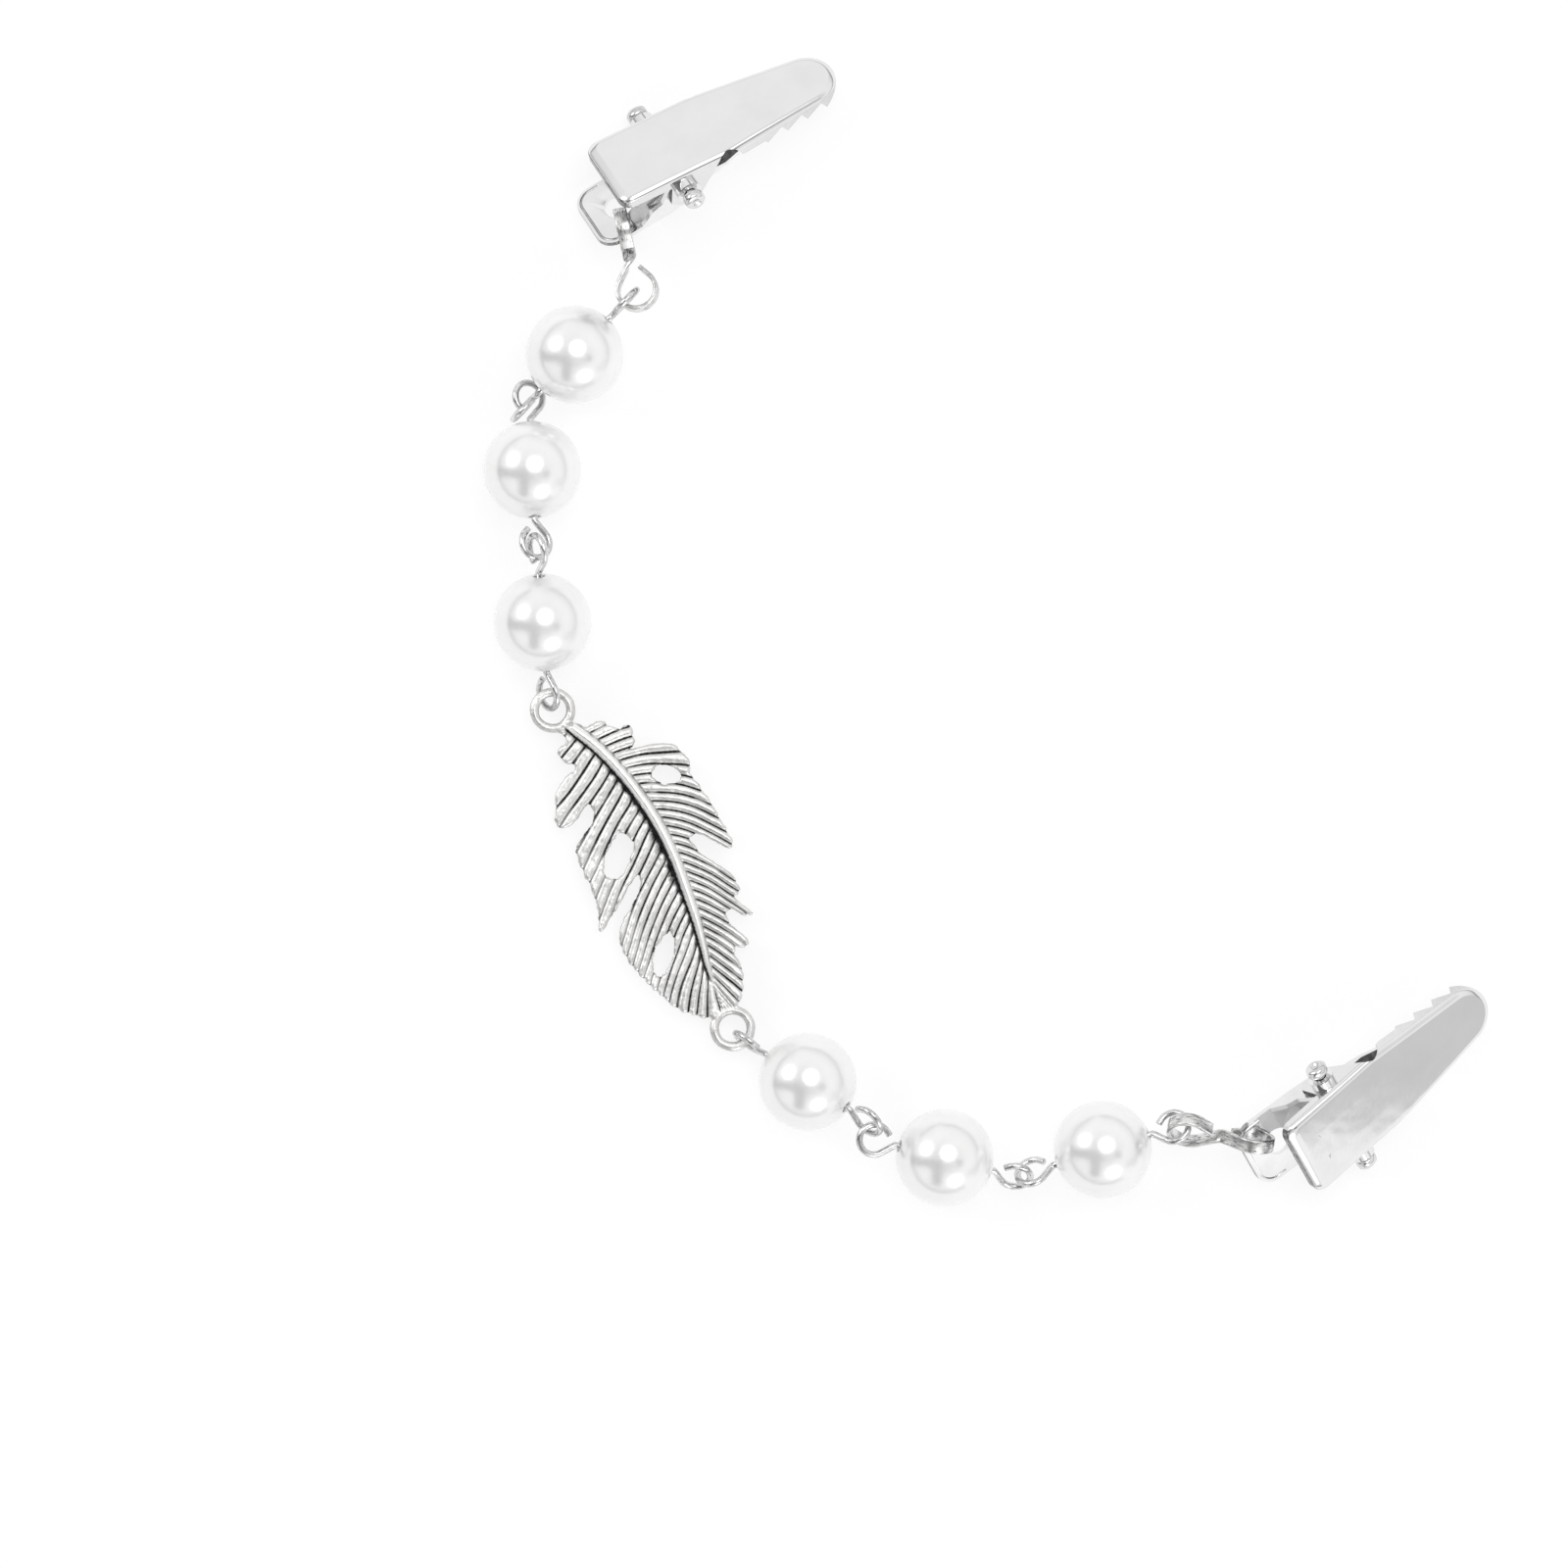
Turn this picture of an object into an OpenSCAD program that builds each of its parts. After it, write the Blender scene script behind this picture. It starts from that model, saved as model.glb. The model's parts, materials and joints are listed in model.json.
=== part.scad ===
// Sweater clip: two spring clips joined by a string of pearls with a cast feather.
// It lies as it rests on a table: X to the right, Y away from the viewer, Z up.

/* [Pearls and eye pins] */
// Diameter of each pearl
pearl_d = 10; // [9:0.1:11]
// Diameter of the hole through each pearl
pearl_hole_d = 1.2; // [1:0.05:1.6]
// Thickness of the eye pin wire
wire_d = 0.7; // [0.5:0.05:0.8]
// Width of an eye between the middles of its wire
eye_w = 3.1; // [2.9:0.05:3.5]
// How far the middle of an eye stands off the pearl
eye_off = 2.6; // [2.4:0.05:3]
// Distance between the middles of two hooked eyes
hook = 1.75; // [1.6:0.05:1.9]

/* [Feather] */
// Length between the middles of the two rings
feather_l = 37.2; // [34:0.2:42]
// Width of the vane at its widest
feather_w = 16; // [13:0.2:18]
// Thickness of the vane
vane_t = 1.1; // [0.8:0.05:1.4]
// Width of the middle rib at its thick end
rib_w = 1.3; // [1:0.1:1.8]
// How far the middle rib stands above the vane
rib_h = 0.7; // [0.4:0.05:1]
// Outer diameter of the rings
ring_d = 4.6; // [4.4:0.05:5.2]
// Diameter of the hole in the rings
ring_hole_d = 2.8; // [2.6:0.05:3.2]
// Thickness of the rings
ring_t = 1.2; // [0.9:0.05:1.3]
// Height of the middle of the rings above the table
ring_z = 2.6; // [2.5:0.05:2.8]
// Number of barb grooves on each side
barb_n = 24; // [14:1:28]
// Depth of the barb grooves
groove_h = 0.3; // [0.2:0.05:0.5]

/* [Ribbon links] */
// Length of a figure 8 link
link_l = 11; // [10.4:0.1:12]
// Outer width of each loop of the link
link_w = 4.4; // [4.3:0.05:4.7]
// Width of the ribbon
ribbon_w = 1.4; // [1:0.05:1.5]
// Thickness of the ribbon
ribbon_t = 0.45; // [0.35:0.05:0.5]
// Turn between the two loops of the link at the first clip
twist_a = 95; // [88:1:102]
// Turn between the two loops of the link at the second clip
twist_b = 50; // [30:1:70]

/* [Clips] */
// Length of the upper plate
plate_l = 26.2; // [24:0.2:28]
// Width of the upper plate at its tail
plate_w = 9.2; // [8.6:0.1:10]
// Width of the upper plate at its tip
tip_w = 6.4; // [5.8:0.1:7]
// Thickness of the sheet metal
sheet = 0.5; // [0.4:0.02:0.55]
// Radius of the tail's corners
corner_r = 1.3; // [1:0.1:1.8]
// Radius of the plate's rolled edge
edge_r = 0.7; // [0.5:0.05:0.8]
// Height of the lip round the tail
lip_h = 1.4; // [1.1:0.05:1.6]
// Height of the toothed side walls
side_h = 2; // [1.7:0.05:2.2]
// Number of teeth on each side
tooth_n = 4; // [3:1:4]
// Spacing of the teeth
tooth_pitch = 2.4; // [2:0.05:2.5]
// Depth of the teeth
tooth_h = 1.05; // [0.7:0.05:1.2]
// Distance from the tail's end to the hinge pin
tail_arm = 6.9; // [6.4:0.1:7.6]
// Depth of the hinge pin's middle below the plate's top
pin_drop = 2; // [1.95:0.05:2.3]
// Diameter of the hinge pin
pin_d = 1.2; // [1:0.05:1.2]
// Radius of the ears round the hinge pin
ear_r = 2.4; // [2.1:0.05:2.6]
// Length of the lower lever behind the hinge pin
lever_l = 9.6; // [9.3:0.1:10.2]
// How far the lever's tail stands below the hinge pin
lever_drop = 4.7; // [4.5:0.05:5.2]
// Diameter of the chain hole in the lever
chain_hole_d = 3; // [2.8:0.05:3.2]
// Thickness of the spring wire
spring_wire_d = 0.4; // [0.3:0.02:0.45]

/* [Hidden] */

// Clearances
pin_gap = 0.05;
side_gap = 0.1;
lay_gap = 0.05;
link_play = 0.4;
link_sag = 0.2;
wire_gap = 0.12;
ear_gap = 0.12;
coil_gap = 0.2;

up = [0, 0, 1];

// The route of the string, chosen by hand. Each row is one pearl, counted from the feather
// outwards: the way its pin points, the way from the last loop to its first and how far as a
// share of hook, and how its first and last eye are turned about the pin.
route_a = [[94, 105, 1, -55, -60], [93, 100, 0.62, 30, 30], [46, 245, 0.75, 95, 90]];
route_b = [[-33, -42, 1.2, 80, 55], [-15, -70, 1.2, 5, 45], [18, 15, 1.05, -45, -25]];
// The way from the last eye to the middle of the ribbon link's first loop, how far as a share
// of hook, and how much higher
to_link_a = [45, 0.88, 0];
to_link_b = [-12, 0.9, -0.1];
// How each pin's slope carries on to the next pin
slope_share = -0.7;
// How far the first eye hangs above the middle of the feather's ring
eye_above_ring = 0.1;
// Where the feather's first ring lies and the way the feather points
ring_a_at = [-44.151, -8.041];
feather_heading = -60.5;
// Each clip's roll, pitch and heading
clip_turn_a = [-36, 10, 26];
clip_turn_b = [36, 15, 41];
// How each link leans from the lever's tail: to its left and downwards
link_tilt_a = [-73, 24];
link_tilt_b = [40, 38];

// Vectors
function unit(v) = v / norm(v);
function aim(heading, pitch) = [cos(pitch) * cos(heading), cos(pitch) * sin(heading), sin(pitch)];
function turn_x(a, v) = [v.x, v.y * cos(a) - v.z * sin(a), v.y * sin(a) + v.z * cos(a)];
function turn_y(a, v) = [v.x * cos(a) + v.z * sin(a), v.y, v.z * cos(a) - v.x * sin(a)];
function turn_z(a, v) = [v.x * cos(a) - v.y * sin(a), v.x * sin(a) + v.y * cos(a), v.z];
function turned(a, v) = turn_z(a[2], turn_y(a[1], turn_x(a[0], v)));
function arc(x, y, r, from, to, n) =
    [for (i = [0 : n]) [x + r * cos(from + (to - from) * i / n), y + r * sin(from + (to - from) * i / n)]];

// Places along the string
pearl_r = pearl_d / 2;
eye_r = eye_w / 2;
reach = pearl_r + eye_off;
neck = pearl_r + wire_d / 2;
first_slope = (pearl_r - ring_z - eye_above_ring) / reach;
function slope(i) = first_slope * pow(slope_share, i);
function pin_aim(route, i) = aim(route[i][0], asin(slope(i)));
function step(row, dz) = aim(row[1], 0) * sqrt(pow(row[2] * hook, 2) - dz * dz) + up * dz;
function pearl_at(route, start, i) =
    (i == 0 ? start + step(route[0], eye_above_ring)
            : pearl_at(route, start, i - 1) + reach * pin_aim(route, i - 1)
              + step(route[i], -reach * (slope(i) + slope(i - 1))))
    + reach * pin_aim(route, i);
function loop_at(route, start, on) =
    pearl_at(route, start, 2) + reach * pin_aim(route, 2) + aim(on[0], 0) * hook * on[1] + on[2] * up;
ring_a = [ring_a_at.x, ring_a_at.y, ring_z];
ring_b = ring_a + feather_l * aim(feather_heading, 0);
loop_a = loop_at(route_a, ring_a, to_link_a);
loop_b = loop_at(route_b, ring_b, to_link_b);

// Ribbon link
loop_r = (link_w - ribbon_t) / 2;
loop_off = link_l / 2 - link_w / 2;
leg_half_angle = asin(loop_r / loop_off);
leg_l = sqrt(loop_off * loop_off - loop_r * loop_r);

// Clip, with the middle of the hinge pin as its own origin
plate_z = pin_drop;
under_z = plate_z - sheet;
tail_x = -tail_arm;
tip_x = plate_l - tail_arm;
tip_mid_x = tip_x - tip_w / 2;
taper_x = tail_x + 0.45 * plate_l;
ear_z = -ear_r;
bore_d = pin_d + 2 * pin_gap;
collar_wall = 0.65;
collar_d = bore_d + 2 * collar_wall;
collar_h = 1;
head_lip = 0.5;
head_d = pin_d + 2 * head_lip;
head_h = 1.1;
head_stand = 0.4;
head_y = plate_w / 2 + collar_h + head_stand;
lever_inset = sheet + side_gap;
lever_w = plate_w - 2 * lever_inset;
hole_rim = 2.1;
hole_in = chain_hole_d / 2 + hole_rim;
hole_x = hole_in - lever_l;
// Height of the lever's lower face at its tail, under the pin, past the spring and at the tip
neck_x = [-ear_r, 0.45 * ear_r, 1.35 * ear_r, 0.34 * tip_x];
floor_points = [[-lever_l, -lever_drop], [neck_x[0], -0.77 * lever_drop], [neck_x[1], -0.6 * lever_drop],
                [neck_x[2], -0.19 * lever_drop], [neck_x[3], 0.02 * lever_drop],
                [tip_x - lever_inset, under_z - sheet - lay_gap]];
function floor_z(x) = lookup(x, floor_points);
hole_z = floor_z(hole_x) + sheet / 2;
link_seat = chain_hole_d / 2 + link_w / 2 - ribbon_t - link_play;
function edge_way(tilt) = [-cos(tilt[0]), sin(tilt[0]), 0];
function link_way(tilt) = cos(tilt[1]) * edge_way(tilt) - sin(tilt[1]) * up;
function seat_at(tilt) = [hole_x, 0, hole_z - link_sag] + link_seat * edge_way(tilt);
function clip_at(loop, turn, tilt) = loop - turned(turn, 2 * loop_off * link_way(tilt) + seat_at(tilt));
clip_a_at = clip_at(loop_a, clip_turn_a, link_tilt_a);
clip_b_at = clip_at(loop_b, clip_turn_b, link_tilt_b);

// Skins a row of rings, each of k points that run the same way round
module skin(rings) {
    k = len(rings[0]);
    n = len(rings);
    points = [for (ring = rings) for (p = ring) p];
    sides = [for (i = [0 : n - 2]) for (j = [0 : k - 1])
        let (a = i * k + j, b = i * k + (j + 1) % k) each [[a, a + k, b + k], [a, b + k, b]]];
    first = [for (j = [0 : k - 1]) j];
    last = [for (j = [k - 1 : -1 : 0]) (n - 1) * k + j];
    polyhedron(points, concat([first], sides, [last]), convexity = 8);
}

// A round wire along a path
function tangents(path) =
    [for (i = [0 : len(path) - 1]) unit(path[min(i + 1, len(path) - 1)] - path[max(i - 1, 0)])];
function square_to(v, t) = unit(v - (v * t) * t);
function carried(t, v) =
    [for (i = 0, s = square_to(v, t[0]); i < len(t); i = i + 1, s = square_to(s, t[min(i, len(t) - 1)])) s];
module wire(path, d, k, across) {
    t = tangents(path);
    s = carried(t, across);
    skin([for (i = [0 : len(path) - 1]) [for (j = [0 : k - 1])
        path[i] + d / 2 * (cos(360 * j / k) * s[i] + sin(360 * j / k) * cross(t[i], s[i]))]]);
}

// Pearl, with its hole along X
module pearl(at, way) {
    color("ivory")
    translate(at)
    rotate([0, -asin(way.z), atan2(way.y, way.x)])
    rotate([0, 90, 0])
    difference() {
        sphere(d = pearl_d, $fn = 64);
        cylinder(d = pearl_hole_d, h = 2 * pearl_d, center = true, $fn = 32);
    }
}

// One eye of a pin, from its neck round to the free end, in the XY plane
eye_half_angle = asin(eye_r / (reach - neck));
eye_leg = sqrt(pow(reach - neck, 2) - eye_r * eye_r);
eye_end = (wire_d + wire_gap) / sin(eye_half_angle);
eye_path = concat([[neck, 0]],
    [for (p = arc(reach, 0, eye_r, -90 - eye_half_angle, 90 + eye_half_angle, 14)) p],
    [[neck + eye_end * cos(eye_half_angle), eye_end * sin(eye_half_angle)]]);
function eye(side, roll) = [for (p = eye_path) [side * p.x, p.y * cos(roll), p.y * sin(roll)]];
function backwards(list) = [for (i = [len(list) - 1 : -1 : 0]) list[i]];
module eye_pin(at, way, first_roll, last_roll) {
    color("silver")
    translate(at)
    rotate([0, -asin(way.z), atan2(way.y, way.x)])
    wire(concat(backwards(eye(-1, first_roll)), eye(1, last_roll)), wire_d, 6,
         [0, -sin(first_roll), cos(first_roll)]);
}

module string_pearl(route, start, i) {
    pearl(pearl_at(route, start, i), pin_aim(route, i));
}
module string_pin(route, start, i) {
    eye_pin(pearl_at(route, start, i), pin_aim(route, i), route[i][3], route[i][4]);
}

// Vane outline, as shares of the feather's length and of half its width: the right edge with
// its lobes, then the left edge, both from the first ring to the last
right_edge = [[0.05, 0.12], [0.073, 0.22], [0.09, 0.3], [0.087, 0.47], [0.134, 0.6], [0.13, 0.72],
              [0.142, 0.78], [0.175, 0.72], [0.195, 0.69], [0.197, 0.6], [0.21, 0.86], [0.226, 1.03],
              [0.245, 1.13], [0.29, 1.2], [0.321, 1.18], [0.331, 1.12], [0.34, 1.14], [0.449, 1.18],
              [0.547, 1.18], [0.573, 1.13], [0.541, 0.99], [0.49, 0.86], [0.485, 0.68], [0.547, 0.75],
              [0.614, 0.92], [0.66, 0.98], [0.69, 0.93], [0.684, 0.83], [0.748, 0.95], [0.759, 0.9],
              [0.7, 0.68], [0.741, 0.61], [0.802, 0.74], [0.829, 0.69], [0.805, 0.5], [0.875, 0.49],
              [0.913, 0.39], [0.955, 0.22]];
left_edge = [[0.05, -0.1], [0.066, -0.04], [0.1, -0.05], [0.1, -0.17], [0.115, -0.23], [0.14, -0.19],
             [0.162, -0.1], [0.178, -0.13], [0.172, -0.22], [0.188, -0.41], [0.21, -0.51],
             [0.277, -0.69], [0.298, -0.66], [0.296, -0.44], [0.272, -0.22], [0.28, -0.17],
             [0.305, -0.19], [0.328, -0.32], [0.353, -0.59], [0.372, -0.65], [0.531, -0.71],
             [0.575, -0.86], [0.596, -0.85], [0.563, -0.56], [0.506, -0.15], [0.508, -0.07],
             [0.53, -0.08], [0.582, -0.41], [0.614, -0.64], [0.66, -0.74], [0.703, -0.74],
             [0.8, -0.63], [0.881, -0.5], [0.955, -0.17]];
// Pierced eyes, in the same shares
eyes = [[[0.298, 1], [0.33, 1.04], [0.341, 0.93], [0.325, 0.74], [0.285, 0.68], [0.27, 0.77], [0.28, 0.89]],
        [[0.38, -0.02], [0.4, 0.07], [0.43, 0.07], [0.474, -0.13], [0.493, -0.3], [0.475, -0.44],
         [0.45, -0.45], [0.401, -0.26]],
        [[0.684, -0.09], [0.7, -0.06], [0.738, -0.15], [0.776, -0.37], [0.782, -0.48], [0.768, -0.54],
         [0.72, -0.44], [0.69, -0.22]]];
// The middle rib: how far along and across, and its width as a share of rib_w
rib = [[0.055, 0.05, 0.8], [0.1, 0.2, 1], [0.2, 0.345, 0.95], [0.3, 0.427, 0.92], [0.4, 0.465, 0.92],
       [0.5, 0.444, 0.9], [0.6, 0.367, 0.85], [0.7, 0.278, 0.7], [0.8, 0.143, 0.5], [0.855, 0.06, 0.3]];
half_w = feather_w / 2;
function on_vane(p) = [p[0] * feather_l, p[1] * half_w];

module vane_outline() {
    difference() {
        polygon([for (p = concat(right_edge, backwards(left_edge))) on_vane(p)]);
        for (e = eyes) polygon([for (p = e) on_vane(p)]);
    }
}
// How steeply the barbs leave the feather's length on each side, at the first ring and the last
barb_right = [96, 8];
barb_left = [65, 45];
groove_side = 1.4 * groove_h;
// One barb groove on a side, running out from the middle rib
module groove(share, side) {
    from = on_vane([share, lookup(share, [for (p = rib) [p[0], p[1]]])]);
    steep = side > 0 ? barb_right : barb_left;
    translate([from.x, from.y, vane_t])
    rotate([0, 0, side * (steep[0] + share * (steep[1] - steep[0]))])
    rotate([45, 0, 0])
    translate([rib_w / 3, -groove_side / 2, -groove_side / 2])
    cube([feather_w, groove_side, groove_side]);
}
module rib_bar() {
    skin([for (p = rib) let (at = on_vane(p), w = rib_w * p[2] / 2, h = vane_t + rib_h * p[2])
        [for (q = [[-w, vane_t / 2], [w, vane_t / 2], [0.75 * w, h - 0.3 * rib_h], [0, h],
                   [-0.75 * w, h - 0.3 * rib_h]])
            [at.x, at.y + q[0], q[1]]]]);
}
module feather() {
    color("darkgray")
    translate([ring_a.x, ring_a.y, ring_z]) rotate([0, 0, feather_heading])
    difference() {
        union() {
            translate([0, 0, -ring_t / 2])
            difference() {
                linear_extrude(vane_t) vane_outline();
                for (i = [0 : barb_n - 1], side = [-1, 1])
                    groove(rib[0][0] + (i + 1) / barb_n * (rib[len(rib) - 1][0] - rib[0][0]), side);
            }
            translate([0, 0, -ring_t / 2]) rib_bar();
            for (x = [0, feather_l]) translate([x, 0, 0])
                cylinder(d = ring_d, h = ring_t, center = true, $fn = 48);
        }
        for (x = [0, feather_l]) translate([x, 0, 0])
            cylinder(d = ring_hole_d, h = 4 * ring_t, center = true, $fn = 48);
    }
}

// Ribbon link along X: its first loop lies flat, and its last is turned by the twist
link_end = 0.5 * leg_l;
first_loop = concat([[-link_end * cos(leg_half_angle), -link_end * sin(leg_half_angle)]],
    backwards(arc(-loop_off, 0, loop_r, 90 - leg_half_angle, 270 + leg_half_angle, 16)));
function link_ring(p, t, a) = let (b = cross(t, a))
    [p + a * ribbon_w / 2 + b * ribbon_t / 2, p - a * ribbon_w / 2 + b * ribbon_t / 2,
     p - a * ribbon_w / 2 - b * ribbon_t / 2, p + a * ribbon_w / 2 - b * ribbon_t / 2];
link_half = concat([for (p = first_loop) [p.x, p.y, 0]],
                   [[-0.3 * leg_l * cos(leg_half_angle), 0.3 * leg_l * sin(leg_half_angle), 0]]);
function link_path(twist) = concat(link_half, [[0, 0, 0]],
    [for (p = backwards(link_half)) turn_x(twist, [-p.x, -p.y, 0])]);
module link_at(loop, turn, tilt, twist) {
    way = turned(turn, -link_way(tilt));
    // The link of the left side shows its face, that of the right side its back
    flat = sign(tilt[0]) * turned(turn, cross(edge_way(tilt), up));
    path = link_path(twist);
    n = len(path);
    t = tangents(path);
    mid = (n - 1) / 2;
    // The ribbon's width stands square to each loop and turns over in the middle
    wide = [for (i = [0 : n - 1])
        square_to(i < mid ? up : i > mid ? turn_x(twist, up) : turn_x(twist / 2, up), t[i])];
    first_up = cos(twist) * unit(flat) + sin(twist) * cross(unit(flat), way);
    frame = [way, cross(first_up, way), first_up];
    origin = loop + loop_off * way;
    color("silver")
    skin([for (i = [0 : n - 1]) [for (p = link_ring(path[i], t[i], wide[i]))
        origin + p.x * frame[0] + p.y * frame[1] + p.z * frame[2]]]);
}

// Outline of the plate, drawn in by an inset on every side
function plate_outline(inset) = let (h = plate_w / 2 - inset, c = corner_r - inset,
                                     x = tail_x + corner_r, y = plate_w / 2 - corner_r)
    concat(arc(x, -y, max(c, 0.05), 180, 270, 6), [[taper_x, -h]],
           arc(tip_mid_x, 0, tip_w / 2 - inset, -84, 84, 18), [[taper_x, h]],
           arc(x, y, max(c, 0.05), 90, 180, 6));
module plate_body() {
    roll = [for (i = [0 : 4]) let (a = 90 * i / 4) [edge_r * (1 - cos(a)), plate_z - edge_r * (1 - sin(a))]];
    levels = concat([[0, ear_z - 1]], roll);
    skin([for (level = levels) [for (p = plate_outline(level[0])) [p.x, p.y, level[1]]]]);
}

// Side view of the upper jaw: lip, ear, notch and saw teeth
tip_flat = 0.9;
teeth_x = tip_x - tip_flat - (tooth_n - 0.4) * tooth_pitch;
notch_r = 0.62 * ear_r;
notch_x = 0.4 * teeth_x + 0.87 * notch_r;
tooth_z = plate_z - side_h;
lip_z = plate_z - lip_h;
notch_z = tooth_z + 0.4 * tooth_h;
function teeth() = [for (i = [tooth_n - 1 : -1 : 0]) for (p = [[0.75, tooth_h], [0, 0]])
    [teeth_x + (i + p[0]) * tooth_pitch, tooth_z + p[1]]];
module upper_side() {
    polygon(concat([[tail_x - 1, plate_z + 1], [tip_x + 1, plate_z + 1], [tip_x + 1, tooth_z + tooth_h]],
                   teeth(),
                   [[teeth_x - 0.15 * tooth_pitch, notch_z], [notch_x + 1.25 * notch_r, notch_z]],
                   arc(notch_x, notch_z, notch_r, 5, 130, 5),
                   [for (p = arc(0, 0, ear_r, -30, -140, 8)) p],
                   [[-0.6 * ear_r, lip_z], [tail_x - 1, lip_z]]));
}
module across_y(w) {
    translate([0, w / 2, 0]) rotate([90, 0, 0]) linear_extrude(w) children();
}
module pin_bore(d, l) {
    rotate([90, 0, 0]) cylinder(d = d, h = l, center = true, $fn = 40);
}
module upper_jaw() {
    color("gainsboro")
    difference() {
        union() {
            intersection() {
                plate_body();
                across_y(plate_w + 2) upper_side();
            }
            pin_bore(collar_d, plate_w + 2 * collar_h);
        }
        translate([0, 0, ear_z - 2]) linear_extrude(under_z - ear_z + 2) polygon(plate_outline(sheet));
        pin_bore(bore_d, 2 * plate_w);
    }
}

// Outline of the lever, whose tail is a rounded square
lever_corner_r = 1.9;
function lever_outline(inset) = let (h = lever_w / 2 - inset, x = lever_corner_r - lever_l,
                                     y = lever_w / 2 - lever_corner_r)
    concat(arc(x, -y, lever_corner_r - inset, 180, 270, 6), [[taper_x, -h]],
           arc(tip_mid_x, 0, tip_w / 2 - lever_inset - inset, -84, 84, 12), [[taper_x, h]],
           arc(x, y, lever_corner_r - inset, 90, 180, 6));
module lever_floor() {
    polygon(concat(floor_points, [for (p = backwards(floor_points)) [p.x, p[1] + sheet]]));
}
// Side view of the lever's walls: a low flange on the tail, then ears round the pin
lever_ear_r = under_z - ear_gap;
flange_h = 1.1;
flange_x = hole_x + 0.1 * chain_hole_d;
flange_run = 1.7 * flange_h;
ear_back_x = neck_x[0] - 0.2 * flange_h;
module lever_side() {
    polygon(concat([[flange_x, floor_z(flange_x)],
                    [flange_x + flange_run, floor_z(flange_x + flange_run) + sheet + flange_h],
                    [ear_back_x, floor_z(ear_back_x) + sheet + 1.3 * flange_h]],
                   backwards(arc(0, 0, lever_ear_r, 0, 175, 10)),
                   [[0.87 * neck_x[3], floor_z(0.87 * neck_x[3]) + sheet / 2]],
                   [for (i = [2 : -1 : 0]) [neck_x[i], floor_z(neck_x[i])]]));
}
module lower_jaw() {
    color("silver")
    difference() {
        union() {
            intersection() {
                across_y(lever_w) lever_floor();
                translate([0, 0, -2 * lever_drop]) linear_extrude(4 * lever_drop)
                    polygon(lever_outline(0));
            }
            difference() {
                intersection() {
                    across_y(lever_w) lever_side();
                    translate([0, 0, -2 * lever_drop]) linear_extrude(4 * lever_drop)
                        polygon(lever_outline(0));
                }
                translate([0, 0, -2 * lever_drop]) linear_extrude(4 * lever_drop)
                    polygon(lever_outline(sheet));
            }
        }
        pin_bore(bore_d, 2 * plate_w);
        translate([hole_x, 0, hole_z]) cylinder(d = chain_hole_d, h = 6, center = true, $fn = 48);
    }
}

// Hinge pin with an upset head at each end
module hinge_pin() {
    color("lightgray")
    union() {
        pin_bore(pin_d, 2 * head_y + 0.2);
        for (side = [-1, 1]) translate([0, side * (head_y + head_h / 2), 0]) pin_bore(head_d, head_h);
    }
}

// Spring: a coil round the pin, with one leg on the lever and a short one under the plate
coil_turns = 8.5;
coil_pitch = 1.25 * spring_wire_d;
coil_r = pin_d / 2 + coil_gap + spring_wire_d / 2;
leg_x = -0.38 * lever_l;
coil = [for (i = [0 : coil_turns * 12]) let (a = 30 * i)
    [coil_r * sin(a), coil_pitch * (a / 360 - coil_turns / 2), -coil_r * cos(a)]];
leg_top = floor_z(leg_x) + sheet + spring_wire_d / 2 + lay_gap;
spring_path = concat([[leg_x, coil[0].y, leg_top]], coil,
                     [[-1.1 * coil_r, coil[len(coil) - 1].y, 0.7 * coil_r]]);
module spring() {
    color("gray")
    wire(spring_path, spring_wire_d, 5, [0, 1, 0]);
}

module on_clip_a() { translate(clip_a_at) rotate(clip_turn_a) children(); }
module on_clip_b() { translate(clip_b_at) rotate(clip_turn_b) children(); }

on_clip_a() upper_jaw();  // upper_jaw_a
on_clip_a() lower_jaw();  // lower_jaw_a
on_clip_a() hinge_pin();  // hinge_pin_a
on_clip_a() spring();  // spring_a
link_at(loop_a, clip_turn_a, link_tilt_a, twist_a);  // figure_8_link_a
string_pearl(route_a, ring_a, 2);  // pearl_1
string_pin(route_a, ring_a, 2);  // eye_pin_1
string_pearl(route_a, ring_a, 1);  // pearl_2
string_pin(route_a, ring_a, 1);  // eye_pin_2
string_pearl(route_a, ring_a, 0);  // pearl_3
string_pin(route_a, ring_a, 0);  // eye_pin_3
feather();
string_pearl(route_b, ring_b, 0);  // pearl_4
string_pin(route_b, ring_b, 0);  // eye_pin_4
string_pearl(route_b, ring_b, 1);  // pearl_5
string_pin(route_b, ring_b, 1);  // eye_pin_5
string_pearl(route_b, ring_b, 2);  // pearl_6
string_pin(route_b, ring_b, 2);  // eye_pin_6
link_at(loop_b, clip_turn_b, link_tilt_b, twist_b);  // figure_8_link_b
on_clip_b() spring();  // spring_b
on_clip_b() hinge_pin();  // hinge_pin_b
on_clip_b() lower_jaw();  // lower_jaw_b
on_clip_b() upper_jaw();  // upper_jaw_b
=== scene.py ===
import json
import math

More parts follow.
